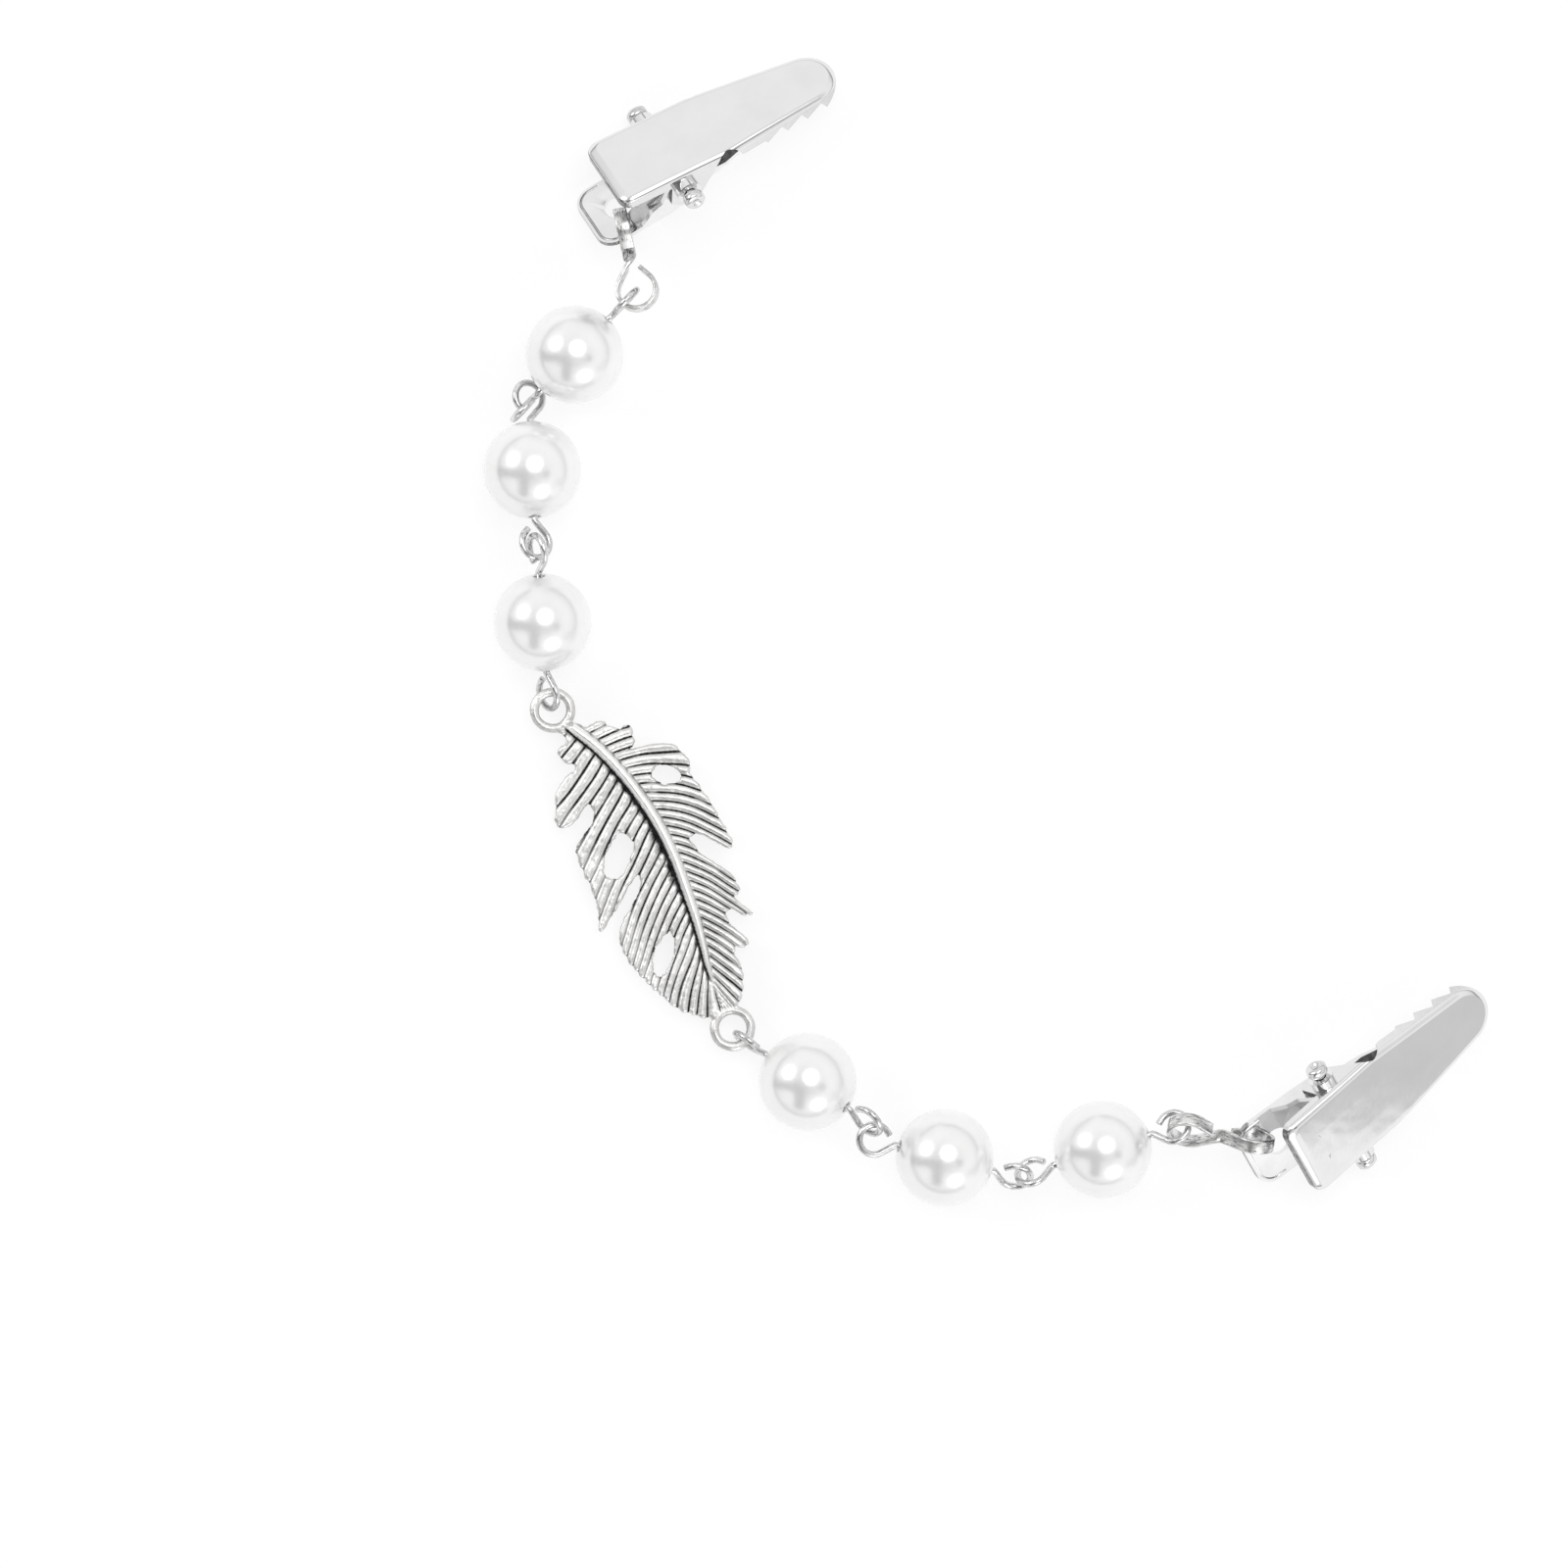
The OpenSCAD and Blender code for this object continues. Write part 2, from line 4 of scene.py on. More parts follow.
import bpy
import bmesh
import numpy as np
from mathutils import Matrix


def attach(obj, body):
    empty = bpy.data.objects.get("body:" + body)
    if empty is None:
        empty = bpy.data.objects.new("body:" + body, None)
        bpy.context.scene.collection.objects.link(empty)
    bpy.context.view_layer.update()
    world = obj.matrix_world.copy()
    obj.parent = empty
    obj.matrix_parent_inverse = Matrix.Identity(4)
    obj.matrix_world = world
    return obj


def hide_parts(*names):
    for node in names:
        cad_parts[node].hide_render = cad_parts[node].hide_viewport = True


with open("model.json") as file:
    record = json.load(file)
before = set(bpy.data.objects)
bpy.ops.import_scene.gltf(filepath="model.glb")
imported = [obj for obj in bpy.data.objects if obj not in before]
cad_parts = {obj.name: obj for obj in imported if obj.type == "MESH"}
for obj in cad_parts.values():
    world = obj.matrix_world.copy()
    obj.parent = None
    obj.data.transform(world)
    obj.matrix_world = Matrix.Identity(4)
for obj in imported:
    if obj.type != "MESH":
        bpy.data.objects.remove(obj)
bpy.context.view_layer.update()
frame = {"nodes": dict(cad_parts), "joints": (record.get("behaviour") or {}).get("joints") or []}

MM = 0.001
UP = np.array([0.0, 0.0, 1.0])

# Sizes in millimetres, as in the solids
PEARL_R, HOLE_R = 5.0, 0.6
WIRE_D = 0.7
EYE_R, EYE_OFF, EYE_GAP = 1.55, 2.6, 0.12
EYE_ABOVE_RING = 0.1
# Between the middles of two eyes that hold each other
HOOK = 1.75
FEATHER_L, HALF_W, VANE_T = 37.2, 8.0, 1.1
RIB_W, RIB_H = 1.3, 0.7
RING_R, RING_HOLE_R, RING_T, RING_Z = 2.3, 1.4, 1.2, 2.6
LINK_L, LINK_W = 11.0, 4.4
RIBBON_W, RIBBON_T = 1.4, 0.45
PLATE_L, PLATE_W, TIP_W, SHEET = 26.2, 9.2, 6.4, 0.5
CORNER_R, EDGE_R = 1.3, 0.7
LIP_H, SIDE_H = 1.4, 2.0
TOOTH_N, PITCH, TOOTH_H = 4, 2.4, 1.05
TAIL_ARM, EAR_R = 6.9, 2.4
PIN_DROP, PIN_D = 2.0, 1.2
LEVER_L, LEVER_DROP = 9.6, 4.7
SPRING_D = 0.4

# A row for each pearl, from the feather outwards: heading of its pin, heading of the step to its
# first eye, that step's share of HOOK, roll of its first eye, roll of its last eye
ROUTE_A = [[94, 105, 1, -55, -60], [93, 100, 0.62, 30, 30], [46, 245, 0.75, 95, 90]]
ROUTE_B = [[-33, -42, 1.2, 80, 55], [-15, -70, 1.2, 5, 45], [18, 15, 1.05, -45, -25]]
# The step from the last eye to the link: heading, share of HOOK, rise
TO_LINK_A, TO_LINK_B = (45, 0.88, 0.0), (-12, 0.9, -0.1)
# The slope of each pin is this share of the slope before it
SLOPE_SHARE = -0.7
RING_A_AT, FEATHER_HEADING = (-44.151, -8.041), -60.5
# For each clip: its roll, pitch and heading, its link's lean and droop, and the link's twist
TURN = {"a": (-36, 10, 26), "b": (36, 15, 41)}
LINK_TILT = {"a": (-73, 24), "b": (40, 38)}
LINK_TWIST = {"a": 95, "b": 50}
JOINTS = {j["child"]: j for j in frame["joints"]}


# Vectors and paths
def unit(v):
    return v / np.linalg.norm(v)


def aim(heading, pitch=0.0):
    h, p = math.radians(heading), math.radians(pitch)
    return np.array([math.cos(p) * math.cos(h), math.cos(p) * math.sin(h), math.sin(p)])


def turning(roll, pitch, heading):
    """Rotation matrix: roll about X, then pitch about Y, then heading about Z."""
    a, b, c = (math.radians(v) for v in (roll, pitch, heading))
    x = np.array([[1, 0, 0], [0, math.cos(a), -math.sin(a)], [0, math.sin(a), math.cos(a)]])
    y = np.array([[math.cos(b), 0, math.sin(b)], [0, 1, 0], [-math.sin(b), 0, math.cos(b)]])
    z = np.array([[math.cos(c), -math.sin(c), 0], [math.sin(c), math.cos(c), 0], [0, 0, 1]])
    return z @ y @ x


def arc(x, y, r, start, end, n):
    t = np.radians(np.linspace(start, end, n + 1))
    return np.stack([x + r * np.cos(t), y + r * np.sin(t)], 1)


def circle(d, k):
    t = np.arange(k) * 2 * math.pi / k
    return np.stack([d / 2 * np.cos(t), d / 2 * np.sin(t)], 1)


def softened(path, times):
    """Cuts the corners of an open path."""
    for _ in range(times):
        a, b = path[:-1], path[1:]
        mid = np.stack([0.75 * a + 0.25 * b, 0.25 * a + 0.75 * b], 1).reshape(-1, path.shape[1])
        path = np.vstack([path[:1], mid, path[-1:]])
    return path


def smoothstep(lo, hi, v):
    t = np.clip((v - lo) / (hi - lo), 0, 1)
    return t * t * (3 - 2 * t)


def looked_up(table, x):
    """Reads a table of (place, value) rows at x, with straight lines between the rows."""
    rows = np.array(table)
    return np.interp(x, rows[:, 0], rows[:, 1])


def polygon_distance(px, py, poly):
    """Distance to a closed polygon, positive inside."""
    best = np.full(px.shape, 1e9)
    inside = np.zeros(px.shape, bool)
    for (x0, y0), (x1, y1) in zip(poly, np.roll(poly, -1, axis=0)):
        dx, dy = x1 - x0, y1 - y0
        t = np.clip(((px - x0) * dx + (py - y0) * dy) / (dx * dx + dy * dy + 1e-12), 0, 1)
        best = np.minimum(best, (px - x0 - t * dx) ** 2 + (py - y0 - t * dy) ** 2)
        crosses = ((y0 > py) != (y1 > py)) & (px < dx * (py - y0) / (dy + 1e-12 * (dy == 0)) + x0)
        inside ^= crosses
    best = np.sqrt(best)
    return np.where(inside, best, -best)


def value_noise(x, y, cell, seed):
    """Smooth noise between -1 and 1 on a square lattice."""
    size, middle = 96, 40
    lattice = np.random.default_rng(seed).uniform(-1, 1, (size + 1, size + 1))
    u, v = x / cell + middle, y / cell + middle
    i, j = np.floor(u).astype(int), np.floor(v).astype(int)
    fu, fv = u - i, v - j
    fu, fv = fu * fu * (3 - 2 * fu), fv * fv * (3 - 2 * fv)
    i, j = i % size, j % size
    top = lattice[i, j] * (1 - fu) + lattice[i + 1, j] * fu
    low = lattice[i, j + 1] * (1 - fu) + lattice[i + 1, j + 1] * fu
    return top * (1 - fv) + low * fv


# Meshes, made in millimetres and kept in metres
def linked(name, data):
    obj = bpy.data.objects.new(name, data)
    bpy.context.scene.collection.objects.link(obj)
    return obj


def add_object(name, verts, faces, uvs=None):
    mesh = bpy.data.meshes.new(name)
    mesh.from_pydata([tuple(v) for v in np.asarray(verts) * MM], [], faces)
    if uvs is not None:
        layer = mesh.uv_layers.new(name="UVMap")
        layer.data.foreach_set("uv", np.asarray(uvs, np.float32).ravel())
    mesh.validate()
    mesh.shade_smooth()
    return linked(name, mesh)


def skin_rings(rings, closed_ends=True):
    """Joins rings of equal length. Gives vertices, faces and one (along, around) pair for each corner."""
    rings = [np.asarray(r) for r in rings]
    n, k = len(rings), len(rings[0])
    verts = np.vstack(rings)
    mids = np.array([r.mean(0) for r in rings])
    along = np.concatenate([[0], np.cumsum(np.linalg.norm(np.diff(mids, axis=0), axis=1))])
    faces, uvs = [], []
    for i in range(n - 1):
        for j in range(k):
            a, b = i * k + j, i * k + (j + 1) % k
            faces.append((a, b, b + k, a + k))
            u0, u1, v0, v1 = along[i], along[i + 1], j / k, (j + 1) / k
            uvs += [(u0, v0), (u0, v1), (u1, v1), (u1, v0)]
    if closed_ends:
        faces.append(tuple(range(k - 1, -1, -1)))
        uvs += [(along[0], j / k) for j in range(k)]
        faces.append(tuple((n - 1) * k + j for j in range(k)))
        uvs += [(along[-1], j / k) for j in range(k)]
    return verts, faces, uvs


# How a blunt end is drawn in: share of the section, share of the length that it stands out
BLUNT_STEPS = [(0.45, 1.0), (0.8, 0.8), (0.96, 0.4)]


def sweep(path, section, across, blunt=0.0):
    """Sweeps a closed section along a path. Its X lies along across: one direction that is carried
    along the path, or a function of the point's number."""
    path = np.asarray(path, float)
    t = np.zeros_like(path)
    t[1:-1] = path[2:] - path[:-2]
    t[0], t[-1] = path[1] - path[0], path[-1] - path[-2]
    t /= np.linalg.norm(t, axis=1)[:, None]
    rings = []
    s = None
    for i, p in enumerate(path):
        if callable(across):
            s = across(i)
        elif s is None:
            s = np.asarray(across, float)
        s = unit(s - (s @ t[i]) * t[i])
        c = np.cross(t[i], s)
        ring = p + section[:, :1] * s + section[:, 1:] * c
        if i == 0 and blunt:
            rings += [p + (ring - p) * share - t[i] * blunt * out for share, out in BLUNT_STEPS]
        rings.append(ring)
        if i == len(path) - 1 and blunt:
            rings += [p + (ring - p) * share + t[i] * blunt * out for share, out in BLUNT_STEPS[::-1]]
    return skin_rings(rings)


def baked(obj):
    """Puts an object's modifiers into its mesh."""
    depsgraph = bpy.context.evaluated_depsgraph_get()
    mesh = bpy.data.meshes.new_from_object(obj.evaluated_get(depsgraph))
    obj.modifiers.clear()
    obj.data = mesh
    return obj


def write_values(obj, domain, **values):
    """Keeps one number for each point or face of a mesh, for its material to read."""
    for key, numbers in values.items():
        layer = obj.data.attributes.new(key, "FLOAT", domain)
        layer.data.foreach_set("value", np.asarray(numbers, np.float32))
    return obj


def dress(obj, node, mat, body="string"):
    obj.data.materials.clear()
    obj.data.materials.append(mat)
    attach(obj, body)
    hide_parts(node)
    return obj


# Material tools
def new_material(name, **values):
    mat = bpy.data.materials.new(name)
    mat.use_nodes = True
    shader = mat.node_tree.nodes["Principled BSDF"]
    for key, value in values.items():
        shader.inputs[key.replace("_", " ")].default_value = value
    return mat, mat.node_tree, shader


def shader_node(tree, kind, inputs=None, **props):
    n = tree.nodes.new(kind)
    for key, value in props.items():
        setattr(n, key, value)
    for key, value in (inputs or {}).items():
        if isinstance(value, bpy.types.NodeSocket):
            tree.links.new(value, n.inputs[key])
        else:
            n.inputs[key].default_value = value
    return n


def math_node(tree, operation, *inputs):
    return shader_node(tree, "ShaderNodeMath", dict(enumerate(inputs)), operation=operation).outputs[0]


def object_place(tree):
    return shader_node(tree, "ShaderNodeTexCoord").outputs["Object"]


def mesh_value(tree, key):
    return shader_node(tree, "ShaderNodeAttribute", attribute_name=key).outputs["Fac"]


def ramp(tree, fac, stops):
    n = shader_node(tree, "ShaderNodeValToRGB", {"Fac": fac})
    elements = n.color_ramp.elements
    while len(elements) < len(stops):
        elements.new(0.5)
    for e, (pos, value) in zip(elements, stops):
        e.position = pos
        e.color = (value, value, value, 1)
    return n.outputs["Color"]


def map_range(tree, value, old, new, interpolation="LINEAR"):
    inputs = {"Value": value, "From Min": old[0], "From Max": old[1], "To Min": new[0], "To Max": new[1]}
    return shader_node(tree, "ShaderNodeMapRange", inputs, interpolation_type=interpolation).outputs["Result"]


def noise_at(tree, vector, scale, detail, rough, stretch=None):
    if stretch is not None:
        inputs = {"Vector": vector, "Scale": stretch}
        vector = shader_node(tree, "ShaderNodeMapping", inputs).outputs["Vector"]
    inputs = {"Vector": vector, "Scale": scale, "Detail": detail, "Roughness": rough}
    return shader_node(tree, "ShaderNodeTexNoise", inputs).outputs["Fac"]


def bump(tree, height, strength, distance, normal=None):
    inputs = {"Height": height, "Strength": strength, "Distance": distance}
    if normal is not None:
        inputs["Normal"] = normal
    return shader_node(tree, "ShaderNodeBump", inputs).outputs["Normal"]


def mixed(tree, fac, a, b):
    """Colour from a to b. A Mix node's colour sockets go by number, since its names repeat."""
    n = tree.nodes.new("ShaderNodeMix")
    n.data_type = "RGBA"
    for i, value in ((0, fac), (6, a), (7, b)):
        if isinstance(value, bpy.types.NodeSocket):
            tree.links.new(value, n.inputs[i])
        else:
            n.inputs[i].default_value = value if i == 0 else (*value, 1)
    return n.outputs[2]


# Materials
# Near black that the painted shade on the clips goes towards
PAINTED_SHADE = (0.03, 0.03, 0.03)
CLOUDED = [(0.35, 0.0), (0.7, 1.0)]


def plated(name, colour, dull, rough, marks):
    """Bright plate with faint clouds, fine marks and small dents, darkened by painted shade and dulled by the
    mesh's values.
    """
    mat, tree, shader = new_material(name, Metallic=1.0)
    at = object_place(tree)
    base = mixed(tree, ramp(tree, noise_at(tree, at, 220, 3, 0.55), CLOUDED), colour, dull)
    speckle = ramp(tree, noise_at(tree, at, 1900, 3, 0.65), [(0.35, 0.65), (0.65, 1.0)])
    soil = math_node(tree, "MULTIPLY", mesh_value(tree, "soil"), speckle)
    # Painted shade: where the mesh's value is high, the plate's colour goes towards near black
    tree.links.new(mixed(tree, soil, base, PAINTED_SHADE), shader.inputs["Base Color"])
    fine = map_range(tree, noise_at(tree, at, 2600, 3, 0.6, (1.0, 0.25, 1.0)), (0.3, 0.75), rough)
    roughness = math_node(tree, "MULTIPLY_ADD", mesh_value(tree, "dull"), 0.4, fine)
    tree.links.new(roughness, shader.inputs["Roughness"])
    dents = bump(tree, noise_at(tree, at, 420, 1, 0.4), marks, 0.0004)
    pits = bump(tree, noise_at(tree, at, 1500, 2, 0.5), marks * 0.5, 0.00008, dents)
    tree.links.new(pits, shader.inputs["Normal"])
    return mat


def drawn_metal(name, colour, dark, rough, scale, stretch, grime):
    """Wire or ribbon with marks that run along it, by its own (along, around) map."""
    mat, tree, shader = new_material(name, Metallic=1.0)
    uv = shader_node(tree, "ShaderNodeUVMap", uv_map="UVMap").outputs["UV"]
    marks = noise_at(tree, uv, scale, 4, 0.65, stretch)
    streaks = ramp(tree, marks, [(0.47, 0.0), (0.59, 1.0)])
    patches = ramp(tree, noise_at(tree, object_place(tree), 700, 3, 0.6), [(0.36, 0.0), (0.56, 1.0)])
    soil = math_node(tree, "MULTIPLY", math_node(tree, "MULTIPLY", streaks, patches), grime)
    tree.links.new(mixed(tree, soil, colour, dark), shader.inputs["Base Color"])
    tree.links.new(map_range(tree, marks, (0.3, 0.7), rough), shader.inputs["Roughness"])
    tree.links.new(bump(tree, marks, 0.12, 0.00005), shader.inputs["Normal"])
    return mat


def pearl_lacquer():
    """Nacre flakes in white lacquer under a clear coat."""
    mat, tree, shader = new_material("pearl_lacquer", Metallic=0.32, Roughness=0.25, IOR=1.55,
                                     Coat_Weight=1.0, Coat_IOR=2.0, Coat_Roughness=0.13,
                                     Sheen_Weight=0.12, Sheen_Roughness=0.4)
    at = object_place(tree)
    nacre = ramp(tree, noise_at(tree, at, 380, 4, 0.55), [(0.3, 0.0), (0.75, 1.0)])
    body = mixed(tree, nacre, (0.84, 0.835, 0.83), (0.88, 0.88, 0.885))
    tree.links.new(body, shader.inputs["Base Color"])
    tree.links.new(bump(tree, noise_at(tree, at, 900, 3, 0.5), 0.05, 0.0002), shader.inputs["Normal"])
    tree.links.new(bump(tree, noise_at(tree, at, 300, 1, 0.4), 0.06, 0.0004), shader.inputs["Coat Normal"])
    return mat


def antique_silver():
    """Bright rubbed ridges and dark grooves, by the mesh's own soil, rubbed, barb and cut values."""
    mat, tree, shader = new_material("antique_silver", Metallic=1.0)
    at = object_place(tree)
    grain = noise_at(tree, at, 2600, 4, 0.65)
    loose_grain = math_node(tree, "SUBTRACT", grain, 0.5)
    # A thin dark line in each gap between barbs, where barb passes a whole number
    to_gap = math_node(tree, "PINGPONG", mesh_value(tree, "barb"), 0.5)
    to_gap = math_node(tree, "MULTIPLY_ADD", loose_grain, 0.12, to_gap)
    line = map_range(tree, to_gap, (0.05, 0.13), (1.0, 0.0), "SMOOTHSTEP")
    line = math_node(tree, "MULTIPLY", line, mesh_value(tree, "cut"))
    soil = math_node(tree, "MULTIPLY_ADD", loose_grain, 0.95, mesh_value(tree, "soil"))
    dirt = math_node(tree, "MAXIMUM", ramp(tree, soil, [(0.16, 0.0), (0.4, 0.4), (0.75, 1.0)]), line)
    cloud = ramp(tree, noise_at(tree, at, 500, 3, 0.6), CLOUDED)
    clean = mixed(tree, cloud, (0.8, 0.795, 0.785), (0.62, 0.615, 0.605))
    clean = mixed(tree, mesh_value(tree, "rubbed"), clean, (0.96, 0.955, 0.945))
    tree.links.new(mixed(tree, dirt, clean, (0.03, 0.03, 0.032)), shader.inputs["Base Color"])
    rough = map_range(tree, grain, (0.3, 0.7), (0.28, 0.45))
    tree.links.new(math_node(tree, "MULTIPLY_ADD", dirt, 0.3, rough), shader.inputs["Roughness"])
    tree.links.new(bump(tree, grain, 0.45, 0.00007), shader.inputs["Normal"])
    return mat


PLATE = plated("bright_plate", colour=(0.81, 0.81, 0.815), dull=(0.77, 0.77, 0.775),
               rough=(0.05, 0.1), marks=0.028)
LEVER = plated("lever_plate", colour=(0.88, 0.88, 0.885), dull=(0.78, 0.78, 0.785),
               rough=(0.08, 0.16), marks=0.06)
PIN = plated("pin_plate", colour=(0.78, 0.78, 0.78), dull=(0.6, 0.6, 0.6),
             rough=(0.1, 0.22), marks=0.12)
SPRING = drawn_metal("spring_wire", colour=(0.5, 0.5, 0.5), dark=(0.1, 0.1, 0.1), rough=(0.2, 0.35),
                     scale=60.0, stretch=(1.0, 30.0, 1.0), grime=0.5)
WIRE = drawn_metal("eye_pin_wire", colour=(0.76, 0.76, 0.76), dark=(0.08, 0.08, 0.08), rough=(0.1, 0.22),
                   scale=8.0, stretch=(0.3, 9.0, 1.0), grime=0.75)
RIBBON = drawn_metal("brushed_ribbon", colour=(0.78, 0.775, 0.77), dark=(0.06, 0.06, 0.06),
                     rough=(0.16, 0.34), scale=10.0, stretch=(0.12, 14.0, 1.0), grime=0.95)
PEARL = pearl_lacquer()
FEATHER = antique_silver()


# Places along the string
REACH, NECK = PEARL_R + EYE_OFF, PEARL_R + WIRE_D / 2
FIRST_SLOPE = (PEARL_R - RING_Z - EYE_ABOVE_RING) / REACH


def slope(i):
    return FIRST_SLOPE * SLOPE_SHARE ** i


def pin_aim(route, i):
    return aim(route[i][0], math.degrees(math.asin(slope(i))))


def stepped(row, rise):
    """The step from one eye into the next, of a set length whatever it rises."""
    _, heading, share, _, _ = row
    return aim(heading) * math.sqrt((share * HOOK) ** 2 - rise * rise) + UP * rise


def pearl_at(route, start, i):
    if i == 0:
        base = start + stepped(route[0], EYE_ABOVE_RING)
    else:
        base = (pearl_at(route, start, i - 1) + REACH * pin_aim(route, i - 1)
                + stepped(route[i], -REACH * (slope(i) + slope(i - 1))))
    return base + REACH * pin_aim(route, i)


def loop_at(route, start, step):
    heading, share, rise = step
    return pearl_at(route, start, 2) + REACH * pin_aim(route, 2) + aim(heading) * HOOK * share + rise * UP


RING_A = np.array([*RING_A_AT, RING_Z])
RING_B = RING_A + FEATHER_L * aim(FEATHER_HEADING)
PEARLS = {1: (ROUTE_A, RING_A, 2), 2: (ROUTE_A, RING_A, 1), 3: (ROUTE_A, RING_A, 0),
          4: (ROUTE_B, RING_B, 0), 5: (ROUTE_B, RING_B, 1), 6: (ROUTE_B, RING_B, 2)}


def along_way(way):
    """Turns X to a way, as the solids do: down by its pitch, then round by its heading."""
    return turning(0, -math.degrees(math.asin(way[2])), math.degrees(math.atan2(way[1], way[0])))


# Pearls: turned forms with a drilled hole whose mouth is rounded and a little sunk
MOUTH_R, MOUTH_SINK, BORE_IN = 0.12, 0.02, 0.4
PEARL_SIDES = 72


def pearl_profile():
    """Places along the hole and radii, round the outside and back through the hole."""
    mouth = math.degrees(math.asin((HOLE_R + MOUTH_R) / PEARL_R))
    outer = [(PEARL_R * math.cos(a), PEARL_R * math.sin(a))
             for a in np.radians(np.linspace(mouth, 180 - mouth, 49))]
    edge_x, edge_r = outer[0]
    lip = [(edge_x - MOUTH_SINK - 0.1 * (1 - math.cos(a)), edge_r - MOUTH_R * math.sin(a))
           for a in np.radians([30, 60, 90])]
    bore = [(x, HOLE_R) for x in np.linspace(BORE_IN - edge_x, edge_x - BORE_IN, 7)]
    return outer + [(-x, r) for x, r in lip] + bore + lip[::-1]


def pearl_mesh(name, centre, way):
    turn = along_way(way)
    rings = []
    for x, r in pearl_profile():
        ring = np.column_stack([np.full(PEARL_SIDES, x), circle(2 * r, PEARL_SIDES)])
        rings.append(ring @ turn.T + centre)
    n = len(rings) * PEARL_SIDES
    verts, faces, _ = skin_rings(rings + rings[:1], closed_ends=False)
    return add_object(name, verts[:n], [tuple(v % n for v in f) for f in faces])


# Eye pins: one round wire through each pearl with a loop at both ends
STRAIGHT_L = 0.25
LOOP_STEPS = 44


def eye_points():
    """The wire's middle line on one side: out of the pearl, round the loop, and back to the neck."""
    half = math.asin(EYE_R / (REACH - NECK))
    end = (WIRE_D + EYE_GAP) / math.sin(half)
    return np.vstack([[[NECK - STRAIGHT_L, 0], [NECK, 0]],
                      arc(REACH, 0, EYE_R, -90 - math.degrees(half), 90 + math.degrees(half), LOOP_STEPS),
                      [[NECK + end * math.cos(half), end * math.sin(half)]]])


def eye(side, roll):
    x, y = eye_points().T
    r = math.radians(roll)
    return np.stack([side * x, y * math.cos(r), y * math.sin(r)], 1)


def eye_pin_mesh(name, centre, way, first_roll, last_roll):
    path = softened(np.vstack([eye(-1, first_roll)[::-1], eye(1, last_roll)]), 1)
    r = math.radians(first_roll)
    verts, faces, uvs = sweep(path, circle(WIRE_D, 14), [0, -math.sin(r), math.cos(r)], blunt=0.06)
    return add_object(name, verts @ along_way(way).T + centre, faces, uvs)


for i, (route, start, k) in PEARLS.items():
    centre, way = pearl_at(route, start, k), pin_aim(route, k)
    dress(pearl_mesh(f"pearl_{i}_fine", centre, way), f"pearl_{i}", PEARL)
    dress(eye_pin_mesh(f"eye_pin_{i}_fine", centre, way, route[k][3], route[k][4]),
          f"eye_pin_{i}", WIRE)


# Ribbon links: a flat ribbon bent to a figure 8, turned over between its two loops
LOOP_R = (LINK_W - RIBBON_T) / 2
LOOP_OFF = LINK_L / 2 - LINK_W / 2
LEG_ANGLE = math.asin(LOOP_R / LOOP_OFF)
LEG_L = math.sqrt(LOOP_OFF ** 2 - LOOP_R ** 2)
LEG_AIM = np.array([math.cos(LEG_ANGLE), math.sin(LEG_ANGLE)])
RIBBON_CORNER_R = 0.13
# Where the free end stops and the turned strand begins: shares of a leg, from the link's middle
FREE_END, STRAND_END = 0.5, 0.3


def rounded_bar(w, t, r):
    x, y = w / 2 - r, t / 2 - r
    corners = ((x, y, 0), (-x, y, 90), (-x, -y, 180), (x, -y, 270))
    return np.vstack([arc(cx, cy, r, start, start + 90, 3) for cx, cy, start in corners])


def link_path(twist):
    """The ribbon's middle line, with the second loop turned over by twist."""
    deg = math.degrees(LEG_ANGLE)
    half = np.vstack([[-FREE_END * LEG_L * LEG_AIM],
                      arc(-LOOP_OFF, 0, LOOP_R, 90 - deg, 270 + deg, LOOP_STEPS)[::-1],
                      [STRAND_END * LEG_L * LEG_AIM * (-1, 1)]])
    first = np.column_stack([half, np.zeros(len(half))])
    last = np.column_stack([-half[::-1], np.zeros(len(half))]) @ turning(twist, 0, 0).T
    return softened(np.vstack([first, [[0, 0, 0]], last]), 3)


def link_mesh(name, loop, turn, tilt, twist):
    lean, droop = (math.radians(v) for v in tilt)
    edge = np.array([-math.cos(lean), math.sin(lean), 0])
    out = math.cos(droop) * edge - math.sin(droop) * UP
    way, flat = turn @ -out, math.copysign(1, lean) * unit(turn @ np.cross(edge, UP))
    a = math.radians(twist)
    first_up = math.cos(a) * flat + math.sin(a) * np.cross(flat, way)
    axes = np.stack([way, np.cross(first_up, way), first_up])
    path = link_path(twist)
    # The free ends run back near the middle, so only the strand between the loops turns over
    order = np.linspace(0, 1, len(path))
    turned = np.where(order < 0.4, 0, np.where(order > 0.6, 1, smoothstep(-1.0, 1.0, path[:, 0])))

    def across(i):
        return np.array([0, -math.sin(a * turned[i]), math.cos(a * turned[i])])

    verts, faces, uvs = sweep(path, rounded_bar(RIBBON_W, RIBBON_T, RIBBON_CORNER_R), across, blunt=0.03)
    return add_object(name, verts @ axes + (loop + LOOP_OFF * way), faces, uvs)


for end, route, start, step in (("a", ROUTE_A, RING_A, TO_LINK_A), ("b", ROUTE_B, RING_B, TO_LINK_B)):
    link = link_mesh(f"figure_8_link_{end}_fine", loop_at(route, start, step), turning(*TURN[end]),
                     LINK_TILT[end], LINK_TWIST[end])
    dress(link, f"figure_8_link_{end}", RIBBON)


